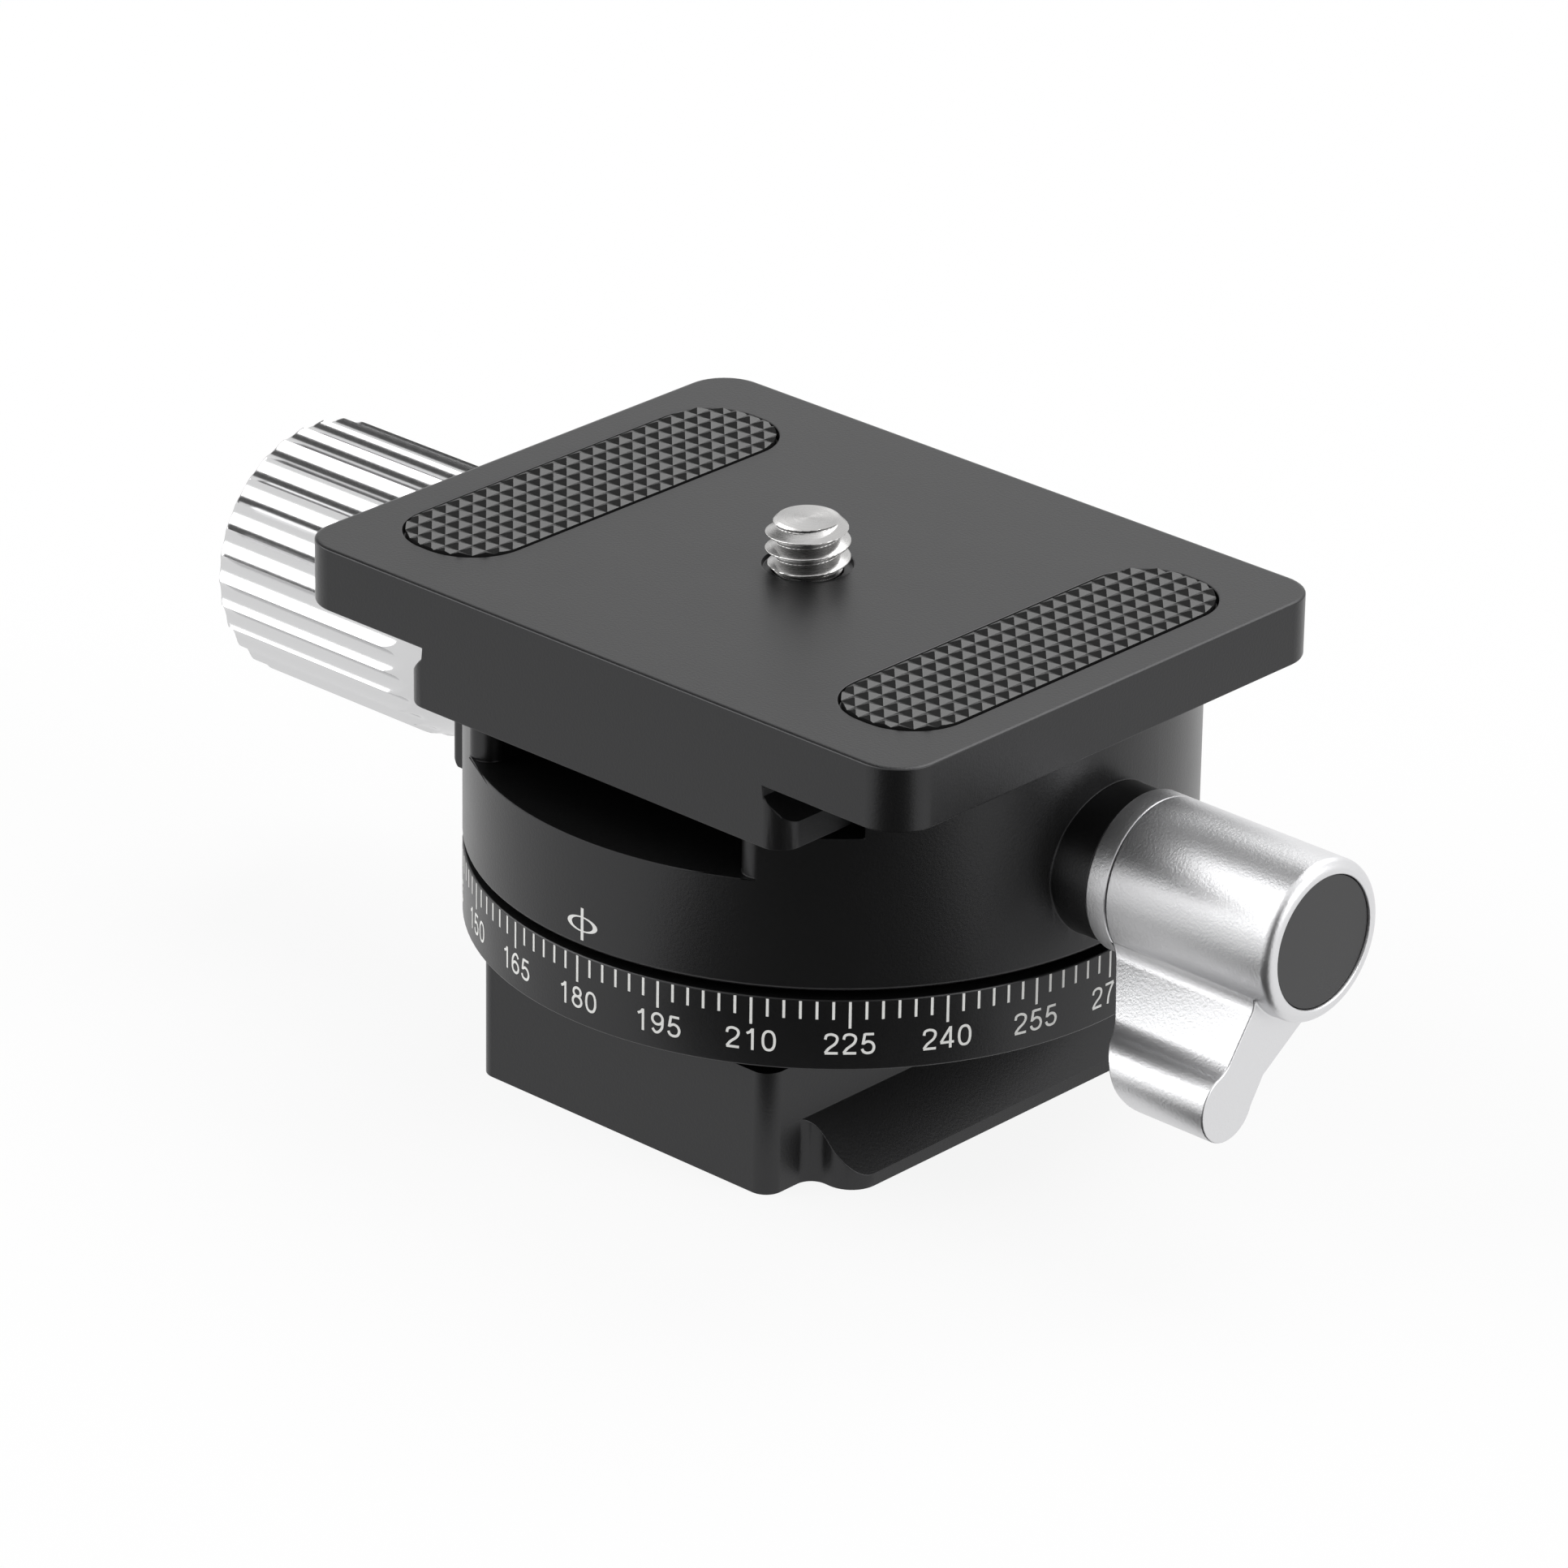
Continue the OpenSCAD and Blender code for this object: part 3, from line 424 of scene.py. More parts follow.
def ease_edges(bm, width, angle=EDGE_TURN, segments=2, chosen=None):
    """Rounds the edges that turn more than angle, or of these the chosen ones."""
    edges = [e for e in bm.edges if len(e.link_faces) == 2 and e.calc_face_angle(0) > math.radians(angle)
             and (chosen is None or chosen(e))]
    bmesh.ops.bevel(bm, geom=edges, offset=width, offset_type="OFFSET", segments=segments, profile=0.5,
                    affect="EDGES", clamp_overlap=False)
    bmesh.ops.remove_doubles(bm, verts=bm.verts, dist=CRUMB)
    bmesh.ops.dissolve_degenerate(bm, dist=CRUMB, edges=bm.edges)
    return bm


def eased(node, name, body, material, width, segments=2, angle=EDGE_TURN):
    """A CAD node's own solid with eased edges, in the node's place."""
    bm = ease_edges(solid_of(node), width, angle, segments)
    finish_piece(link_mesh(name, bm), body, material, [node], weighted=True)


def cut_off(bm, point, way):
    """Takes away what lies past the plane through the point, on the side that way points to."""
    bmesh.ops.bisect_plane(bm, geom=list(bm.verts) + list(bm.edges) + list(bm.faces), dist=ON_PLANE,
                           plane_co=point, plane_no=way, clear_outer=True)


def fill_holes(bm):
    bmesh.ops.holes_fill(bm, edges=[e for e in bm.edges if e.is_boundary], sides=0)


def lathe(profile, columns, place, shape):
    """A closed ring mesh: profile is a closed loop of (along, out), and shape bends out by angle."""
    bm = bmesh.new()
    rings = [[bm.verts.new(place(along, shape(along, out, angle), angle)) for angle in columns]
             for along, out in profile]
    count = len(columns)
    for i, ring in enumerate(rings):
        other = rings[(i + 1) % len(rings)]
        for j in range(count):
            k = (j + 1) % count
            bm.faces.new((ring[j], ring[k], other[k], other[j]))
    bmesh.ops.recalc_face_normals(bm, faces=bm.faces)
    return bm


def arc_points(centre, radius, start, end, steps):
    """Points of an arc from start to end degrees, in the plane of (along, out)."""
    return [(centre[0] + radius * math.cos(math.radians(start + (end - start) * i / steps)),
             centre[1] + radius * math.sin(math.radians(start + (end - start) * i / steps)))
            for i in range(steps + 1)]


# ---------------------------------------------------------------- scale print


def curve_through(points, steps=6):
    """A smooth open line through the points."""
    line = []
    pts = [points[0]] + list(points) + [points[-1]]
    for i in range(1, len(pts) - 2):
        a, b, c, d = pts[i - 1:i + 3]
        for j in range(steps):
            t = j / steps
            line.append(tuple(
                0.5 * (2 * b[k] + (c[k] - a[k]) * t + (2 * a[k] - 5 * b[k] + 4 * c[k] - d[k]) * t * t
                       + (3 * b[k] - a[k] - 3 * c[k] + d[k]) * t ** 3)
                for k in (0, 1)))
    line.append(points[-1])
    return line


def oval(cx, cy, rx, ry, power=1.0, steps=28):
    """A closed oval line; a power under 1 squares it."""
    line = []
    for i in range(steps + 1):
        a = math.radians(360.0 * i / steps)
        x, y = math.cos(a), math.sin(a)
        line.append((cx + rx * math.copysign(abs(x) ** power, x),
                     cy + ry * math.copysign(abs(y) ** power, y)))
    return line


def digit_strokes(digit):
    """The strokes of a plain numeral, one unit high, as lines of (across, up)."""
    hook = curve_through([(-0.245, 0.33), (-0.22, 0.68), (-0.06, 0.9), (0.1, 0.93), (0.23, 0.78)])
    six = [oval(0.0, 0.31, 0.245, 0.25), hook]
    return {
        "0": [oval(0, 0.5, 0.25, 0.4375, power=0.85)],
        "1": [[(0.08, 0.0), (0.08, 1.0)], [(0.07, 0.97), (-0.02, 0.84), (-0.17, 0.76)]],
        "2": [curve_through([(-0.25, 0.7), (-0.2, 0.88), (0, 0.94), (0.2, 0.86), (0.25, 0.7),
                             (0.16, 0.5), (-0.1, 0.28), (-0.25, 0.07)]),
              [(-0.27, 0.06), (0.28, 0.06)]],
        "3": [curve_through([(-0.25, 0.74), (-0.17, 0.89), (0, 0.94), (0.18, 0.87), (0.22, 0.72),
                             (0.13, 0.57), (-0.06, 0.53)]),
              curve_through([(-0.06, 0.53), (0.15, 0.48), (0.255, 0.31), (0.2, 0.13), (0, 0.06),
                             (-0.18, 0.12), (-0.26, 0.27)])],
        "4": [[(0.13, 0.97), (-0.28, 0.29)], [(-0.3, 0.27), (0.3, 0.27)], [(0.14, 1.0), (0.14, 0.0)]],
        "5": [[(0.24, 0.94), (-0.15, 0.94)], [(-0.14, 0.97), (-0.22, 0.46)],
              curve_through([(-0.21, 0.5), (-0.02, 0.6), (0.17, 0.53), (0.25, 0.33), (0.17, 0.12),
                             (-0.02, 0.06), (-0.18, 0.12), (-0.25, 0.26)])],
        "6": six,
        "7": [[(-0.26, 0.94), (0.26, 0.94)],
              curve_through([(0.25, 0.92), (0.08, 0.68), (-0.05, 0.35), (-0.09, 0.0)])],
        "8": [oval(0, 0.735, 0.205, 0.2), oval(0, 0.3, 0.25, 0.24)],
        "9": [[(-x, 1 - y) for x, y in line] for line in six],
    }[digit]


def add_ribbon(bm, line, width, place, lift):
    """A thin closed band along line, (across, up) in metres; place puts a point on the surface."""
    sharpest = 0.5
    closed = len(line) > 3 and math.dist(line[0], line[-1]) < 1e-9
    pts = [Vector(p) for p in (line[:-1] if closed else line)]
    count = len(pts)
    quads = []
    for i, p in enumerate(pts):
        a = pts[i - 1] if i or closed else p
        b = pts[(i + 1) % count] if i < count - 1 or closed else p
        into = (p - a).normalized() if (p - a).length > 1e-12 else (b - p).normalized()
        away = (b - p).normalized() if (b - p).length > 1e-12 else into
        way = (into + away).normalized()
        side = Vector((-way.y, way.x))
        reach = width / 2 / max(sharpest, side.dot(Vector((-into.y, into.x))))
        left, right = p + side * reach, p - side * reach
        quads.append([bm.verts.new(place(q.x, q.y, h)) for q, h in (
            (left, lift), (right, lift), (right, -PRINT_SUNK * MM), (left, -PRINT_SUNK * MM))])
    for i in range(count if closed else count - 1):
        a, b = quads[i], quads[(i + 1) % count]
        for j in range(4):
            k = (j + 1) % 4
            bm.faces.new((a[j], a[k], b[k], b[j]))
    if not closed:
        bm.faces.new(quads[0])
        bm.faces.new(quads[-1][::-1])


def print_piece(name, bm, body):
    """White print on an anodised body."""
    bmesh.ops.recalc_face_normals(bm, faces=bm.faces)
    finish_piece(link_mesh(name, bm), body, "white_print")


def on_cylinder(radius, angle, height):
    """Wraps (across, up, out) on a cylinder about the pan axis; angle is the middle, in degrees."""
    def place(across, up, out):
        a = math.radians(angle) + across / radius
        return Vector(((radius + out) * math.cos(a), (radius + out) * math.sin(a), height + up))
    return place


# ---------------------------------------------------------------- operators


class BASE_OT_materials(bpy.types.Operator):
    """Make the finishes and give them to the plain CAD pieces"""
    bl_idname = "panobase.materials"
    bl_label = "Finishes"

    def execute(self, context):
        make_materials()
        finish = {"steel": "steel", "brass": "brass", "nylon": "nylon", "rubber": "rubber",
                  "black_anodised": "black_anodised_satin", "black_disc": "moulded_black",
                  "silver_satin": "turned_collar", "silver_polished": "polished_silver"}
        for part in frame["record"]["subparts"]:
            mesh = frame["nodes"][part["node"]].data
            mesh.materials.clear()
            mesh.materials.append(look(finish[part["material_slot"]]))
        return {"FINISHED"}


class BASE_OT_foot(bpy.types.Operator):
    """Make the foot block and the threaded bush in it"""
    bl_idname = "panobase.foot"
    bl_label = "Foot and bush"

    def execute(self, context):
        narrow = 0.05 * MM
        eased("foot", "foot_block", "base", "black_anodised", narrow, angle=40)
        lo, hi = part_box("tripod_bush")
        # The inside thread's radius at its crest and root, its pitch, and the easing at its ends.
        crest, root, pitch, lead_in = 4.1 * MM, 4.76 * MM, 1.5875 * MM, 0.5 * MM
        outer = (hi.x - lo.x) / 2
        sides, steps = 96, 72
        columns = [i * math.tau / sides for i in range(sides)]
        profile = [(lo.z, outer), (hi.z, outer)]
        profile += [(hi.z - (hi.z - lo.z) * i / steps, root) for i in range(steps + 1)]

        def thread(along, out, angle):
            if out > root:
                return out
            phase = ((along / pitch) - angle / math.tau) % 1.0
            ridge = crest + (root - crest) * abs(2 * phase - 1)
            return max(ridge, root - (min(along - lo.z, hi.z - along) / lead_in) * (root - crest))

        def upright(along, r, angle):
            return r * math.cos(angle), r * math.sin(angle), along

        bm = lathe(profile, columns, upright, thread)
        finish_piece(link_mesh("bush_thread", bm), "base", "steel", ["tripod_bush"], 50)
        return {"FINISHED"}


class BASE_OT_scale(bpy.types.Operator):
    """Make the graduated ring with its ticks and numbers"""
    bl_idname = "panobase.scale"
    bl_label = "Graduated ring"

    def execute(self, context):
        s = sizes()
        narrow = 0.06 * MM
        eased("graduated_ring", "scale_ring", "base", "black_anodised", narrow, angle=22)
        lo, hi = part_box("graduated_ring")
        radius = (hi.x - lo.x) / 2
        # The printed band: its lower edge, the ticks' upper ends and the numbers' feet.
        bottom = hi.z - 5.65 * MM
        tick_top = bottom + 5.52 * MM
        number_foot = bottom + 1.3 * MM
        ticks_per_number = 6
        turn = math.degrees(s.scale_turn)
        bm = bmesh.new()
        for i in range(s.tick_count):
            tall = s.tick_long if i % ticks_per_number == 0 else s.tick_short
            place = on_cylinder(radius, i * 360 / s.tick_count + turn, tick_top)
            add_ribbon(bm, [(0, -tall), (0, 0)], s.tick_width, place, PRINT_PROUD * MM)
        print_piece("scale_ticks", bm, "base")
        bm = bmesh.new()
        h = s.digit_height
        # As parts of a digit's height: how far the digits stand apart, and how wide a stroke is.
        spacing, stroke = 0.776, 0.115
        front, front_number = -90, 180
        for number in range(0, 360, 15):
            text = str(number)
            place = on_cylinder(radius, front + (number - front_number) + turn, number_foot)
            for k, digit in enumerate(text):
                shift = (k - (len(text) - 1) / 2) * spacing * h
                for n, line in enumerate(digit_strokes(digit)):
                    add_ribbon(bm, [(shift + x * h, y * h) for x, y in line], stroke * h, place,
                               (PRINT_PROUD + PRINT_LAYER * n) * MM)
        print_piece("scale_numbers", bm, "base")
        return {"FINISHED"}


class BASE_OT_turntable(bpy.types.Operator):
    """Make the turntable with its channel and the index mark"""
    bl_idname = "panobase.turntable"
    bl_label = "Turntable"

    def execute(self, context):
        s = sizes()
        eased("turntable", "table_body", "turntable", "black_anodised", s.edge)
        eased("retaining_ring", "table_retainer", "turntable", "black_anodised_satin",
              s.edge)
        ring_lo, ring_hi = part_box("graduated_ring")
        radius = (ring_hi.x - ring_lo.x) / 2
        # The mark is an oval ring with a bar through it: its height on the turntable, the ring's
        # width, height and line at its sides and ends, and the bar's half length and width.
        rise = 1.95 * MM
        wide, tall, side, cap = 2.9 * MM, 1.22 * MM, 0.42 * MM, 0.1 * MM
        bar_reach, bar_width = 1.29 * MM, 0.26 * MM
        front = -90
        place = on_cylinder(radius, front + math.degrees(s.index_turn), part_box("turntable")[0].z + rise)
        bm = bmesh.new()
        count = 48
        rows = []
        for i in range(count):
            a = math.tau * i / count
            x, y = math.cos(a), math.sin(a)
            outer = (wide / 2 * x, tall / 2 * y)
            inner = ((wide / 2 - side) * x, (tall / 2 - cap) * y)
            rows.append([bm.verts.new(place(p[0], p[1], h)) for p, h in (
                (outer, PRINT_PROUD * MM), (inner, PRINT_PROUD * MM),
                (inner, -PRINT_SUNK * MM), (outer, -PRINT_SUNK * MM))])
        for i in range(count):
            a, b = rows[i], rows[(i + 1) % count]
            for j in range(4):
                bm.faces.new((a[j], a[(j + 1) % 4], b[(j + 1) % 4], b[j]))
        add_ribbon(bm, [(0, -bar_reach), (0, bar_reach)], bar_width, place,
                   (PRINT_PROUD + PRINT_LAYER) * MM)
        print_piece("index_mark", bm, "turntable")
        return {"FINISHED"}


class BASE_OT_jaw(bpy.types.Operator):
    """Make the movable jaw"""
    bl_idname = "panobase.jaw"
    bl_label = "Movable jaw"

    def execute(self, context):
        eased("movable_jaw", "jaw_block", "jaw", "black_anodised_satin", sizes().edge)
        return {"FINISHED"}


class BASE_OT_knob(bpy.types.Operator):
    """Make the fluted knob and its disc"""
    bl_idname = "panobase.knob"
    bl_label = "Knob"

    def execute(self, context):
        s = sizes()
        lo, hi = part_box("knob")
        near, far = -hi.x, -lo.x
        radius, axis_z = (hi.z - lo.z) / 2, (hi.z + lo.z) / 2
        # Radii of the neck and the bore, the flared collar's length, the disc's seat, and roundings.
        throat, bore, collar = 6.2 * MM, 3.06 * MM, 11.4 * MM
        seat_r, seat, seat_gap, seat_edge = 6.5 * MM, 1.2 * MM, 0.05 * MM, 0.15 * MM
        neck_edge, rim = 0.25 * MM, 1.0 * MM
        flare_steps, flare_power, grip_steps = 48, 1.25, 6
        profile = [(near, bore), (near, throat - neck_edge)]
        profile += arc_points((near + neck_edge, throat - neck_edge), neck_edge, 180, 95, 4)[1:]
        for i in range(1, flare_steps + 1):
            t = i / flare_steps
            flare = (radius - throat) * (1 - math.cos(math.pi * t ** flare_power)) / 2
            profile.append((near + collar * t, throat + flare))
        grip = far - rim - (near + collar)
        profile += [(near + collar + grip * i / grip_steps, radius) for i in range(1, grip_steps + 1)]
        profile += arc_points((far - rim, radius - rim), rim, 90, 0, 10)[1:]
        profile += [(far, seat_r + seat_gap + seat_edge), (far - seat_edge, seat_r + seat_gap),
                    (far - seat, seat_r + seat_gap), (far - seat, bore)]
        half_groove = 1.15 * MM
        flute = (half_groove ** 2 + s.knob_flute_depth ** 2) / (2 * s.knob_flute_depth)
        centre_r = radius + flute - s.knob_flute_depth
        # Degrees from a flute's middle, closer together round its edge.
        steps = [0, 0.8, 1.6, 2.3, 2.9, 3.4, 3.8, 4.1, 4.35, 4.65, 5.0, 5.45]
        pitch = 360 / s.knob_flutes
        offsets = sorted(set(steps + [pitch - a for a in steps[1:]] + [pitch / 2]))
        columns = [math.radians(pitch * n + a) for n in range(s.knob_flutes) for a in offsets]
        plain_neck, plain_seat, soft = 1.0 * MM, 0.3 * MM, 0.1 * MM

        def fluted(along, out, angle):
            if out < seat_r + plain_seat or along < near + plain_neck:
                return out
            phi = (math.degrees(angle) + pitch / 2) % pitch - pitch / 2
            across = centre_r * math.sin(math.radians(phi))
            if abs(across) >= flute:
                return out
            groove = centre_r * math.cos(math.radians(phi)) - math.sqrt(flute ** 2 - across ** 2)
            h = max(soft - abs(out - groove), 0) / soft
            return min(out, groove) - h * h * soft / 4

        def lying(along, r, angle):
            return -along, r * math.sin(angle), axis_z + r * math.cos(angle)

        bm = lathe(profile, columns, lying, fluted)
        finish_piece(link_mesh("knob_grip", bm), "knob", "polished_silver", ["knob"], 60)
        eased("knob_cap", "knob_disc", "knob", "moulded_black", 0.12 * MM)
        return {"FINISHED"}


class BASE_OT_lever(bpy.types.Operator):
    """Make the lock lever, its collar and its disc"""
    bl_idname = "panobase.lever"
    bl_label = "Lock lever"

    def execute(self, context):
        eased("lever", "lever_blade", "lock_lever", "blasted_silver", sizes().lever_edge, 3)
        eased("lever_collar", "lever_ring", "lock_lever", "blasted_silver", 0.16 * MM)
        eased("lever_cap", "lever_disc", "lock_lever", "moulded_black", 0.12 * MM)
        return {"FINISHED"}


class BASE_OT_plate(bpy.types.Operator):
    """Make the quick-release plate with its rounded slab"""
    bl_idname = "panobase.plate"
    bl_label = "Quick-release plate"

    def execute(self, context):
        slab_edge = sizes().slab_edge
        bm = solid_of("plate")
        lo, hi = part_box("plate")
        # The outer edge lies this near the box's sides, and its rounding as near once it is made.
        # The rounding's depth is a part of its width. The other sharp edges get a small one.
        edge_reach, rounded_reach, level = 1.1 * MM, 1.4 * MM, 0.02 * MM
        flattened, lesser_edge, lesser_turn = 0.4, 0.16 * MM, 60

        def inside(v):
            return min(v.co.x - lo.x, hi.x - v.co.x, v.co.y - lo.y, hi.y - v.co.y)

        def top_edge(edge):
            return all(abs(v.co.z - hi.z) <= level and inside(v) <= edge_reach for v in edge.verts)

        if not any(top_edge(e) for e in bm.edges):
            raise RuntimeError("the plate has no outer edges to round")
        ease_edges(bm, slab_edge, segments=5, chosen=top_edge)
        for v in bm.verts:
            if hi.z - 1.01 * slab_edge < v.co.z < hi.z - ON_PLANE and inside(v) < rounded_reach:
                v.co.z = hi.z - flattened * (hi.z - v.co.z)
        ease_edges(bm, lesser_edge, lesser_turn)
        finish_piece(link_mesh("plate_slab", bm), "plate", "black_anodised", ["plate"],
                     weighted=True)
        return {"FINISHED"}


class BASE_OT_pads(bpy.types.Operator):
    """Make the two rubber pads with their grain of small pyramids"""
    bl_idname = "panobase.pads"
    bl_label = "Rubber pads"

    def execute(self, context):
        s = sizes()
        # The rows across a pad, half a pyramid's flat top as a part of the pitch, the ends'
        # rounding and its steps, and the gap to the plate.
        rows, flat = 7, 0.045
        round_end, corner_steps, gap = 4.5 * MM, 12, 0.06 * MM
        corners = ((0, 0), (1, 0), (1, 1), (0, 1))
        for node in ("pad_left", "pad_right"):
            lo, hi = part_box(node)
            centre = (lo + hi) / 2
            half_x, half_y = (hi.x - lo.x) / 2, (hi.y - lo.y) / 2
            corner = min(round_end, half_x)
            valley, peak = hi.z - s.pad_relief, hi.z
            pitch_x, pitch_y = 2 * half_x / rows, s.pad_pitch
            columns = int(math.ceil(2 * half_y / pitch_y))
            bm = bmesh.new()
            for i in range(rows):
                for j in range(columns):
                    x = centre.x + (i - rows / 2) * pitch_x
                    y = centre.y + (j - columns / 2) * pitch_y
                    low = [bm.verts.new((x + a * pitch_x, y + b * pitch_y, valley)) for a, b in corners]
                    high = [bm.verts.new((x + (0.5 + (2 * a - 1) * flat) * pitch_x,
                                          y + (0.5 + (2 * b - 1) * flat) * pitch_y, peak))
                            for a, b in corners]
                    bm.faces.new(high)
                    for k in range(4):
                        m = (k + 1) % 4
                        bm.faces.new((low[k], low[m], high[m], high[k]))
            bmesh.ops.remove_doubles(bm, verts=bm.verts, dist=CRUMB)
            outline = []
            for sx, sy, start in ((1, 1, 0), (-1, 1, 90), (-1, -1, 180), (1, -1, 270)):
                middle = centre.x + sx * (half_x - corner), centre.y + sy * (half_y - corner)
                outline += arc_points(middle, corner - gap, start, start + 90, corner_steps)
            outline = [Vector((x, y, 0)) for x, y in outline]
            for i, a in enumerate(outline):
                b = outline[(i + 1) % len(outline)]
                if (b - a).length < ON_PLANE:
                    continue
                way = (b - a).normalized()
                cut_off(bm, a, Vector((way.y, -way.x, 0)))
            rim = [e for e in bm.edges if e.is_boundary]
            skirt = bmesh.ops.extrude_edge_only(bm, edges=rim)["geom"]
            for v in skirt:
                if isinstance(v, bmesh.types.BMVert):
                    v.co.z = lo.z
            fill_holes(bm)
            bmesh.ops.recalc_face_normals(bm, faces=bm.faces)
            finish_piece(link_mesh(f"{node}_grain", bm), "plate", "rubber", [node], 20)
        return {"FINISHED"}


class BASE_OT_screw(bpy.types.Operator):
    """Make the camera screw with its thread and slotted head"""
    bl_idname = "panobase.screw"
    bl_label = "Camera screw"

    def execute(self, context):
        lo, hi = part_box("camera_screw")
        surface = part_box("plate")[1].z
        centre_y = (lo.y + hi.y) / 2
        # Under the plate's surface: where the thread starts, and where its piece meets the head's.
        start = surface - 0.2 * MM
        cut = surface - 0.3 * MM
        head_edge = 0.15 * MM
        bm = solid_of("camera_screw")
        cut_off(bm, (0, 0, cut), (0, 0, 1))
        fill_holes(bm)
        ease_edges(bm, head_edge)
        finish_piece(link_mesh("screw_head", bm), "camera_screw", "turned_steel",
                     ["camera_screw"], weighted=True)
        # The thread: radii at its crest, root and neck, its tip and the cone there, and the tooth's
        # flat crest and flank as parts of half the pitch.
        crest, root, neck, pitch = 3.175 * MM, 2.36 * MM, 2.6 * MM, sizes().thread_pitch
        tip_r, tip_edge, cone, hub = 2.33 * MM, 0.1 * MM, 0.85 * MM, 0.4 * MM
        crest_flat, flank, lead_in, lead_start = 0.06, 0.82, 0.5 * MM, 0.15
        sides, steps = 120, 128
        profile = [(cut, hub), (cut, neck)]
        profile += [(start + (hi.z - start) * i / steps, crest) for i in range(steps + 1)]
        profile += [(hi.z, tip_r - tip_edge), (hi.z, hub)]
        columns = [i * math.tau / sides for i in range(sides)]

        def thread(along, out, angle):
            if out < crest or along < start:
                return out
            phase = ((along - start) / pitch - angle / math.tau) % 1.0
            tooth = min(1.0, max(0.0, (abs(2 * phase - 1) - crest_flat) / flank))
            ridge = crest + (root - crest) * tooth
            lead = root + (crest - root) * min(1.0, (along - start) / lead_in + lead_start)
            cap = tip_r + (hi.z - along) / cone * (crest - tip_r)
            return min(ridge, cap, lead)

        def upright(along, r, angle):
            return r * math.cos(angle), centre_y + r * math.sin(angle), along

        bm = lathe(profile, columns, upright, thread)
        for height in (cut, hi.z):
            ring = [v for v in bm.verts if abs(v.co.z - height) < ON_PLANE
                    and math.hypot(v.co.x, v.co.y - centre_y) < hub + 0.1 * MM]
            bmesh.ops.pointmerge(bm, verts=ring, merge_co=(0, centre_y, height))
        crushed = [f for f in bm.faces if f.calc_area() < 1e-14]
        bmesh.ops.delete(bm, geom=crushed, context="FACES_ONLY")
        bmesh.ops.dissolve_degenerate(bm, dist=1e-8, edges=bm.edges)
        finish_piece(link_mesh("screw_thread", bm), "camera_screw", "turned_steel", (), 40)
        return {"FINISHED"}


class BASE_OT_stage(bpy.types.Operator):
    """Make the floor, the soft light, the dark reflectors and the camera"""
    bl_idname = "panobase.stage"
    bl_label = "Stage, light and camera"

    def execute(self, context):
        half_floor, floor_white, room_light = 6.0, 0.88, 0.42
        floor_mesh = bmesh.new()
        bmesh.ops.create_grid(floor_mesh, x_segments=8, y_segments=8, size=half_floor)
        floor = link_mesh("floor", floor_mesh)
        mat, tree, shader = new_material("floor")
        shader.inputs["Base Color"].default_value = colours().floor
        shader.inputs["Roughness"].default_value = 0.7
        shader.inputs["Specular IOR Level"].default_value = 0.0
        seen_white(tree, shader.outputs["BSDF"], tree.nodes["Material Output"].inputs["Surface"],
                   floor_white)
        floor.data.materials.append(mat)

        world = bpy.data.worlds.new("studio")
        context.scene.world = world
        world.use_nodes = True
        back = world.node_tree.nodes["Background"]
        back.inputs["Color"].default_value = (1, 1, 1, 1)
        back.inputs["Strength"].default_value = room_light
        white_world(world.node_tree, back)

        # Only reflections see the cards.
        for name, corners, shade in dark_cards():
            paint, tree, shader = new_material(name)
            shader.inputs["Base Color"].default_value = (shade, shade, shade, 1)
            shader.inputs["Roughness"].default_value = 0.9
            bm = bmesh.new()
            bm.faces.new([bm.verts.new(p) for p in corners])
            card = link_mesh(name, bm)
            card.data.materials.append(paint)
            card.visible_camera = False
            card.visible_diffuse = False
            card.visible_shadow = False

        aim = Vector((0, 0, 0.02))
        for name, azimuth, height, distance, size, power in (
                ("softbox_left", -56, 0.65, 1.0, 1.1, 9.0),
                ("softbox_right", 105, 0.6, 1.1, 0.8, 6.0),
                ("softbox_back", 190, 1.2, 0.8, 0.9, 8.0)):
            lamp = bpy.data.lights.new(name, "AREA")
            lamp.shape = "SQUARE"
            lamp.size = size
            lamp.energy = power
            obj = bpy.data.objects.new(name, lamp)
            context.scene.collection.objects.link(obj)
            a = math.radians(azimuth)
            obj.location = (distance * math.sin(a), -distance * math.cos(a), height)
            obj.rotation_euler = (aim - obj.location).to_track_quat("-Z", "Y").to_euler()

        camera = bpy.data.cameras.new("camera")
        camera.sensor_width = 36.0
        camera.lens = 202.4
        camera.clip_start, camera.clip_end = 0.05, 60.0
        # In millimetres: the point looked at, to the right of the axis and over the floor, and how
        # far the camera stands from it.
        across, over, away = -3.52, 21.04, 657.6
        obj = bpy.data.objects.new("camera", camera)
        context.scene.collection.objects.link(obj)
        az, el, roll = (math.radians(v) for v in (VIEW_AZIMUTH, VIEW_HEIGHT, VIEW_ROLL))
        right = Vector((math.cos(az), math.sin(az), 0))
        behind = Vector((math.sin(az) * math.cos(el), -math.cos(az) * math.cos(el), math.sin(el)))
        up = behind.cross(right)
        tilted = right * math.cos(roll) + up * math.sin(roll)
        raised = behind.cross(tilted)
        spot = right * across * MM + Vector((0, 0, over * MM)) + behind * away * MM
        obj.matrix_world = Matrix((
            (tilted.x, raised.x, behind.x, spot.x), (tilted.y, raised.y, behind.y, spot.y),
            (tilted.z, raised.z, behind.z, spot.z), (0, 0, 0, 1)))
        context.scene.camera = obj
        context.scene.view_settings.view_transform = "Standard"
        return {"FINISHED"}


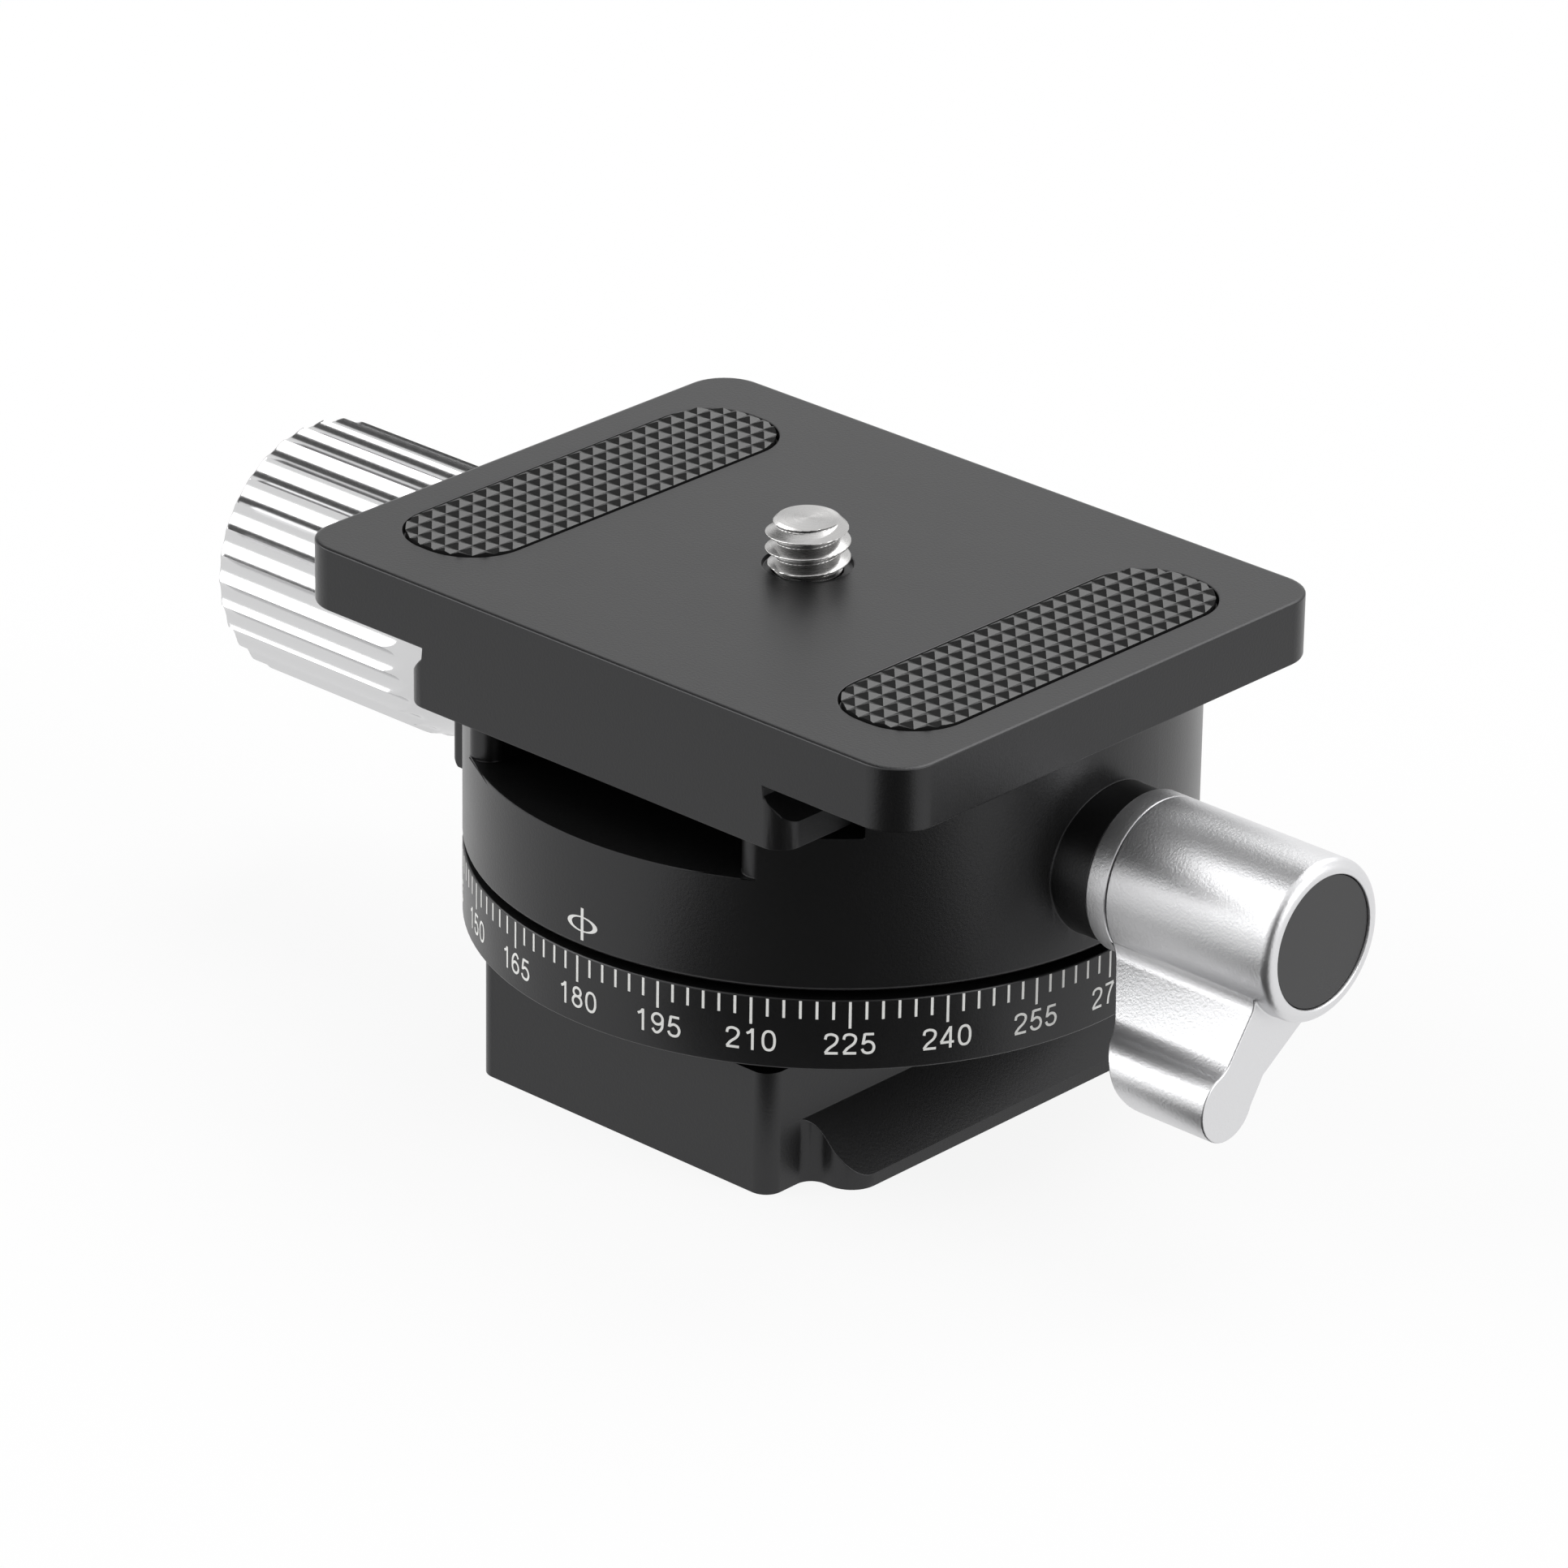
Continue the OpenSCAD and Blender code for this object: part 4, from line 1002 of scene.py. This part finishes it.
def dark_cards():
    """The dark sides of the studio, in metres: before the object, low and upright, and over the knob."""
    az = math.radians(VIEW_AZIMUTH)
    right = Vector((math.cos(az), math.sin(az), 0))
    front = Vector((math.sin(az), -math.cos(az), 0))
    lift, far, high = 0.0008, 0.8, 0.9

    def spot(across, out, up):
        return right * across + front * out + Vector((0, 0, up))

    low = [spot(-0.036, 0.038, lift), spot(0.032, 0.036, lift), spot(0.3, far, lift), spot(-0.4, far, lift)]
    tall = [spot(-0.4, far, 0.0), spot(0.3, far, 0.0), spot(0.3, far, high), spot(-0.4, far, high)]
    middle = Vector((-0.614, 0.09, 0.784)) * 0.9
    along = Vector((0, 1, 0))
    over = along.cross(middle).normalized()

    def hung(centre, start, end, half_long, half_wide):
        return [centre + along * a * half_long + over * b * half_wide
                for a, b in ((start, -1), (end, -1), (end, 1), (start, 1))]

    strip = hung(middle, -0.55, 1, 0.42, 0.1)
    roof = hung(middle * 1.06, -0.34, 0.76, 0.5, 0.5)
    return (("card_low", low, 0.02), ("card_tall", tall, 0.02), ("card_strip", strip, 0.04),
            ("card_roof", roof, 0.1))


def seen_rays(tree):
    """1 for the rays that show the background itself: the camera's, and those in metal and glass."""
    path = tree.nodes.new("ShaderNodeLightPath")
    first = math_node(tree, "ADD", path.outputs["Is Camera Ray"], path.outputs["Is Glossy Ray"])
    return math_node(tree, "ADD", first, path.outputs["Is Transmission Ray"], True)


def seen_white(tree, surface, output, share):
    """Mixes plain white into a surface for the rays that see the background."""
    white = tree.nodes.new("ShaderNodeEmission")
    white.inputs["Strength"].default_value = 1.0
    mix = tree.nodes.new("ShaderNodeMixShader")
    tree.links.new(math_node(tree, "MULTIPLY", seen_rays(tree), share), mix.inputs["Fac"])
    tree.links.new(surface, mix.inputs[1])
    tree.links.new(white.outputs["Emission"], mix.inputs[2])
    tree.links.new(mix.outputs["Shader"], output)


def white_world(tree, back):
    """The world is white where it is seen, and a soft grey where it lights."""
    seen = tree.nodes.new("ShaderNodeBackground")
    seen.inputs["Color"].default_value = (1, 1, 1, 1)
    seen.inputs["Strength"].default_value = 1.0
    mix = tree.nodes.new("ShaderNodeMixShader")
    tree.links.new(seen_rays(tree), mix.inputs["Fac"])
    tree.links.new(back.outputs["Background"], mix.inputs[1])
    tree.links.new(seen.outputs["Background"], mix.inputs[2])
    tree.links.new(mix.outputs["Shader"], tree.nodes["World Output"].inputs["Surface"])


class BASE_PT_panel(bpy.types.Panel):
    bl_idname = "BASE_PT_panel"
    bl_label = "Panoramic base"
    bl_space_type = "VIEW_3D"
    bl_region_type = "UI"
    bl_category = "Panoramic base"

    def draw(self, context):
        layout = self.layout
        for group in (context.scene.base_sizes, context.scene.base_colours):
            box = layout.box()
            for name in group.__annotations__:
                box.prop(group, name)
        for kind in OPERATORS:
            layout.operator(kind.bl_idname)


OPERATORS = (BASE_OT_materials, BASE_OT_foot, BASE_OT_scale, BASE_OT_turntable, BASE_OT_jaw, BASE_OT_knob,
             BASE_OT_lever, BASE_OT_plate, BASE_OT_pads, BASE_OT_screw, BASE_OT_stage)
CLASSES = (BaseSizes, BaseColours) + OPERATORS + (BASE_PT_panel,)


def register():
    for kind in CLASSES:
        bpy.utils.register_class(kind)
    bpy.types.Scene.base_sizes = PointerProperty(type=BaseSizes)
    bpy.types.Scene.base_colours = PointerProperty(type=BaseColours)


def unregister():
    del bpy.types.Scene.base_colours
    del bpy.types.Scene.base_sizes
    for kind in reversed(CLASSES):
        bpy.utils.unregister_class(kind)


def main():
    register()
    for kind in OPERATORS:
        group, name = kind.bl_idname.split(".")
        getattr(getattr(bpy.ops, group), name)()


if __name__ == "__main__":
    main()
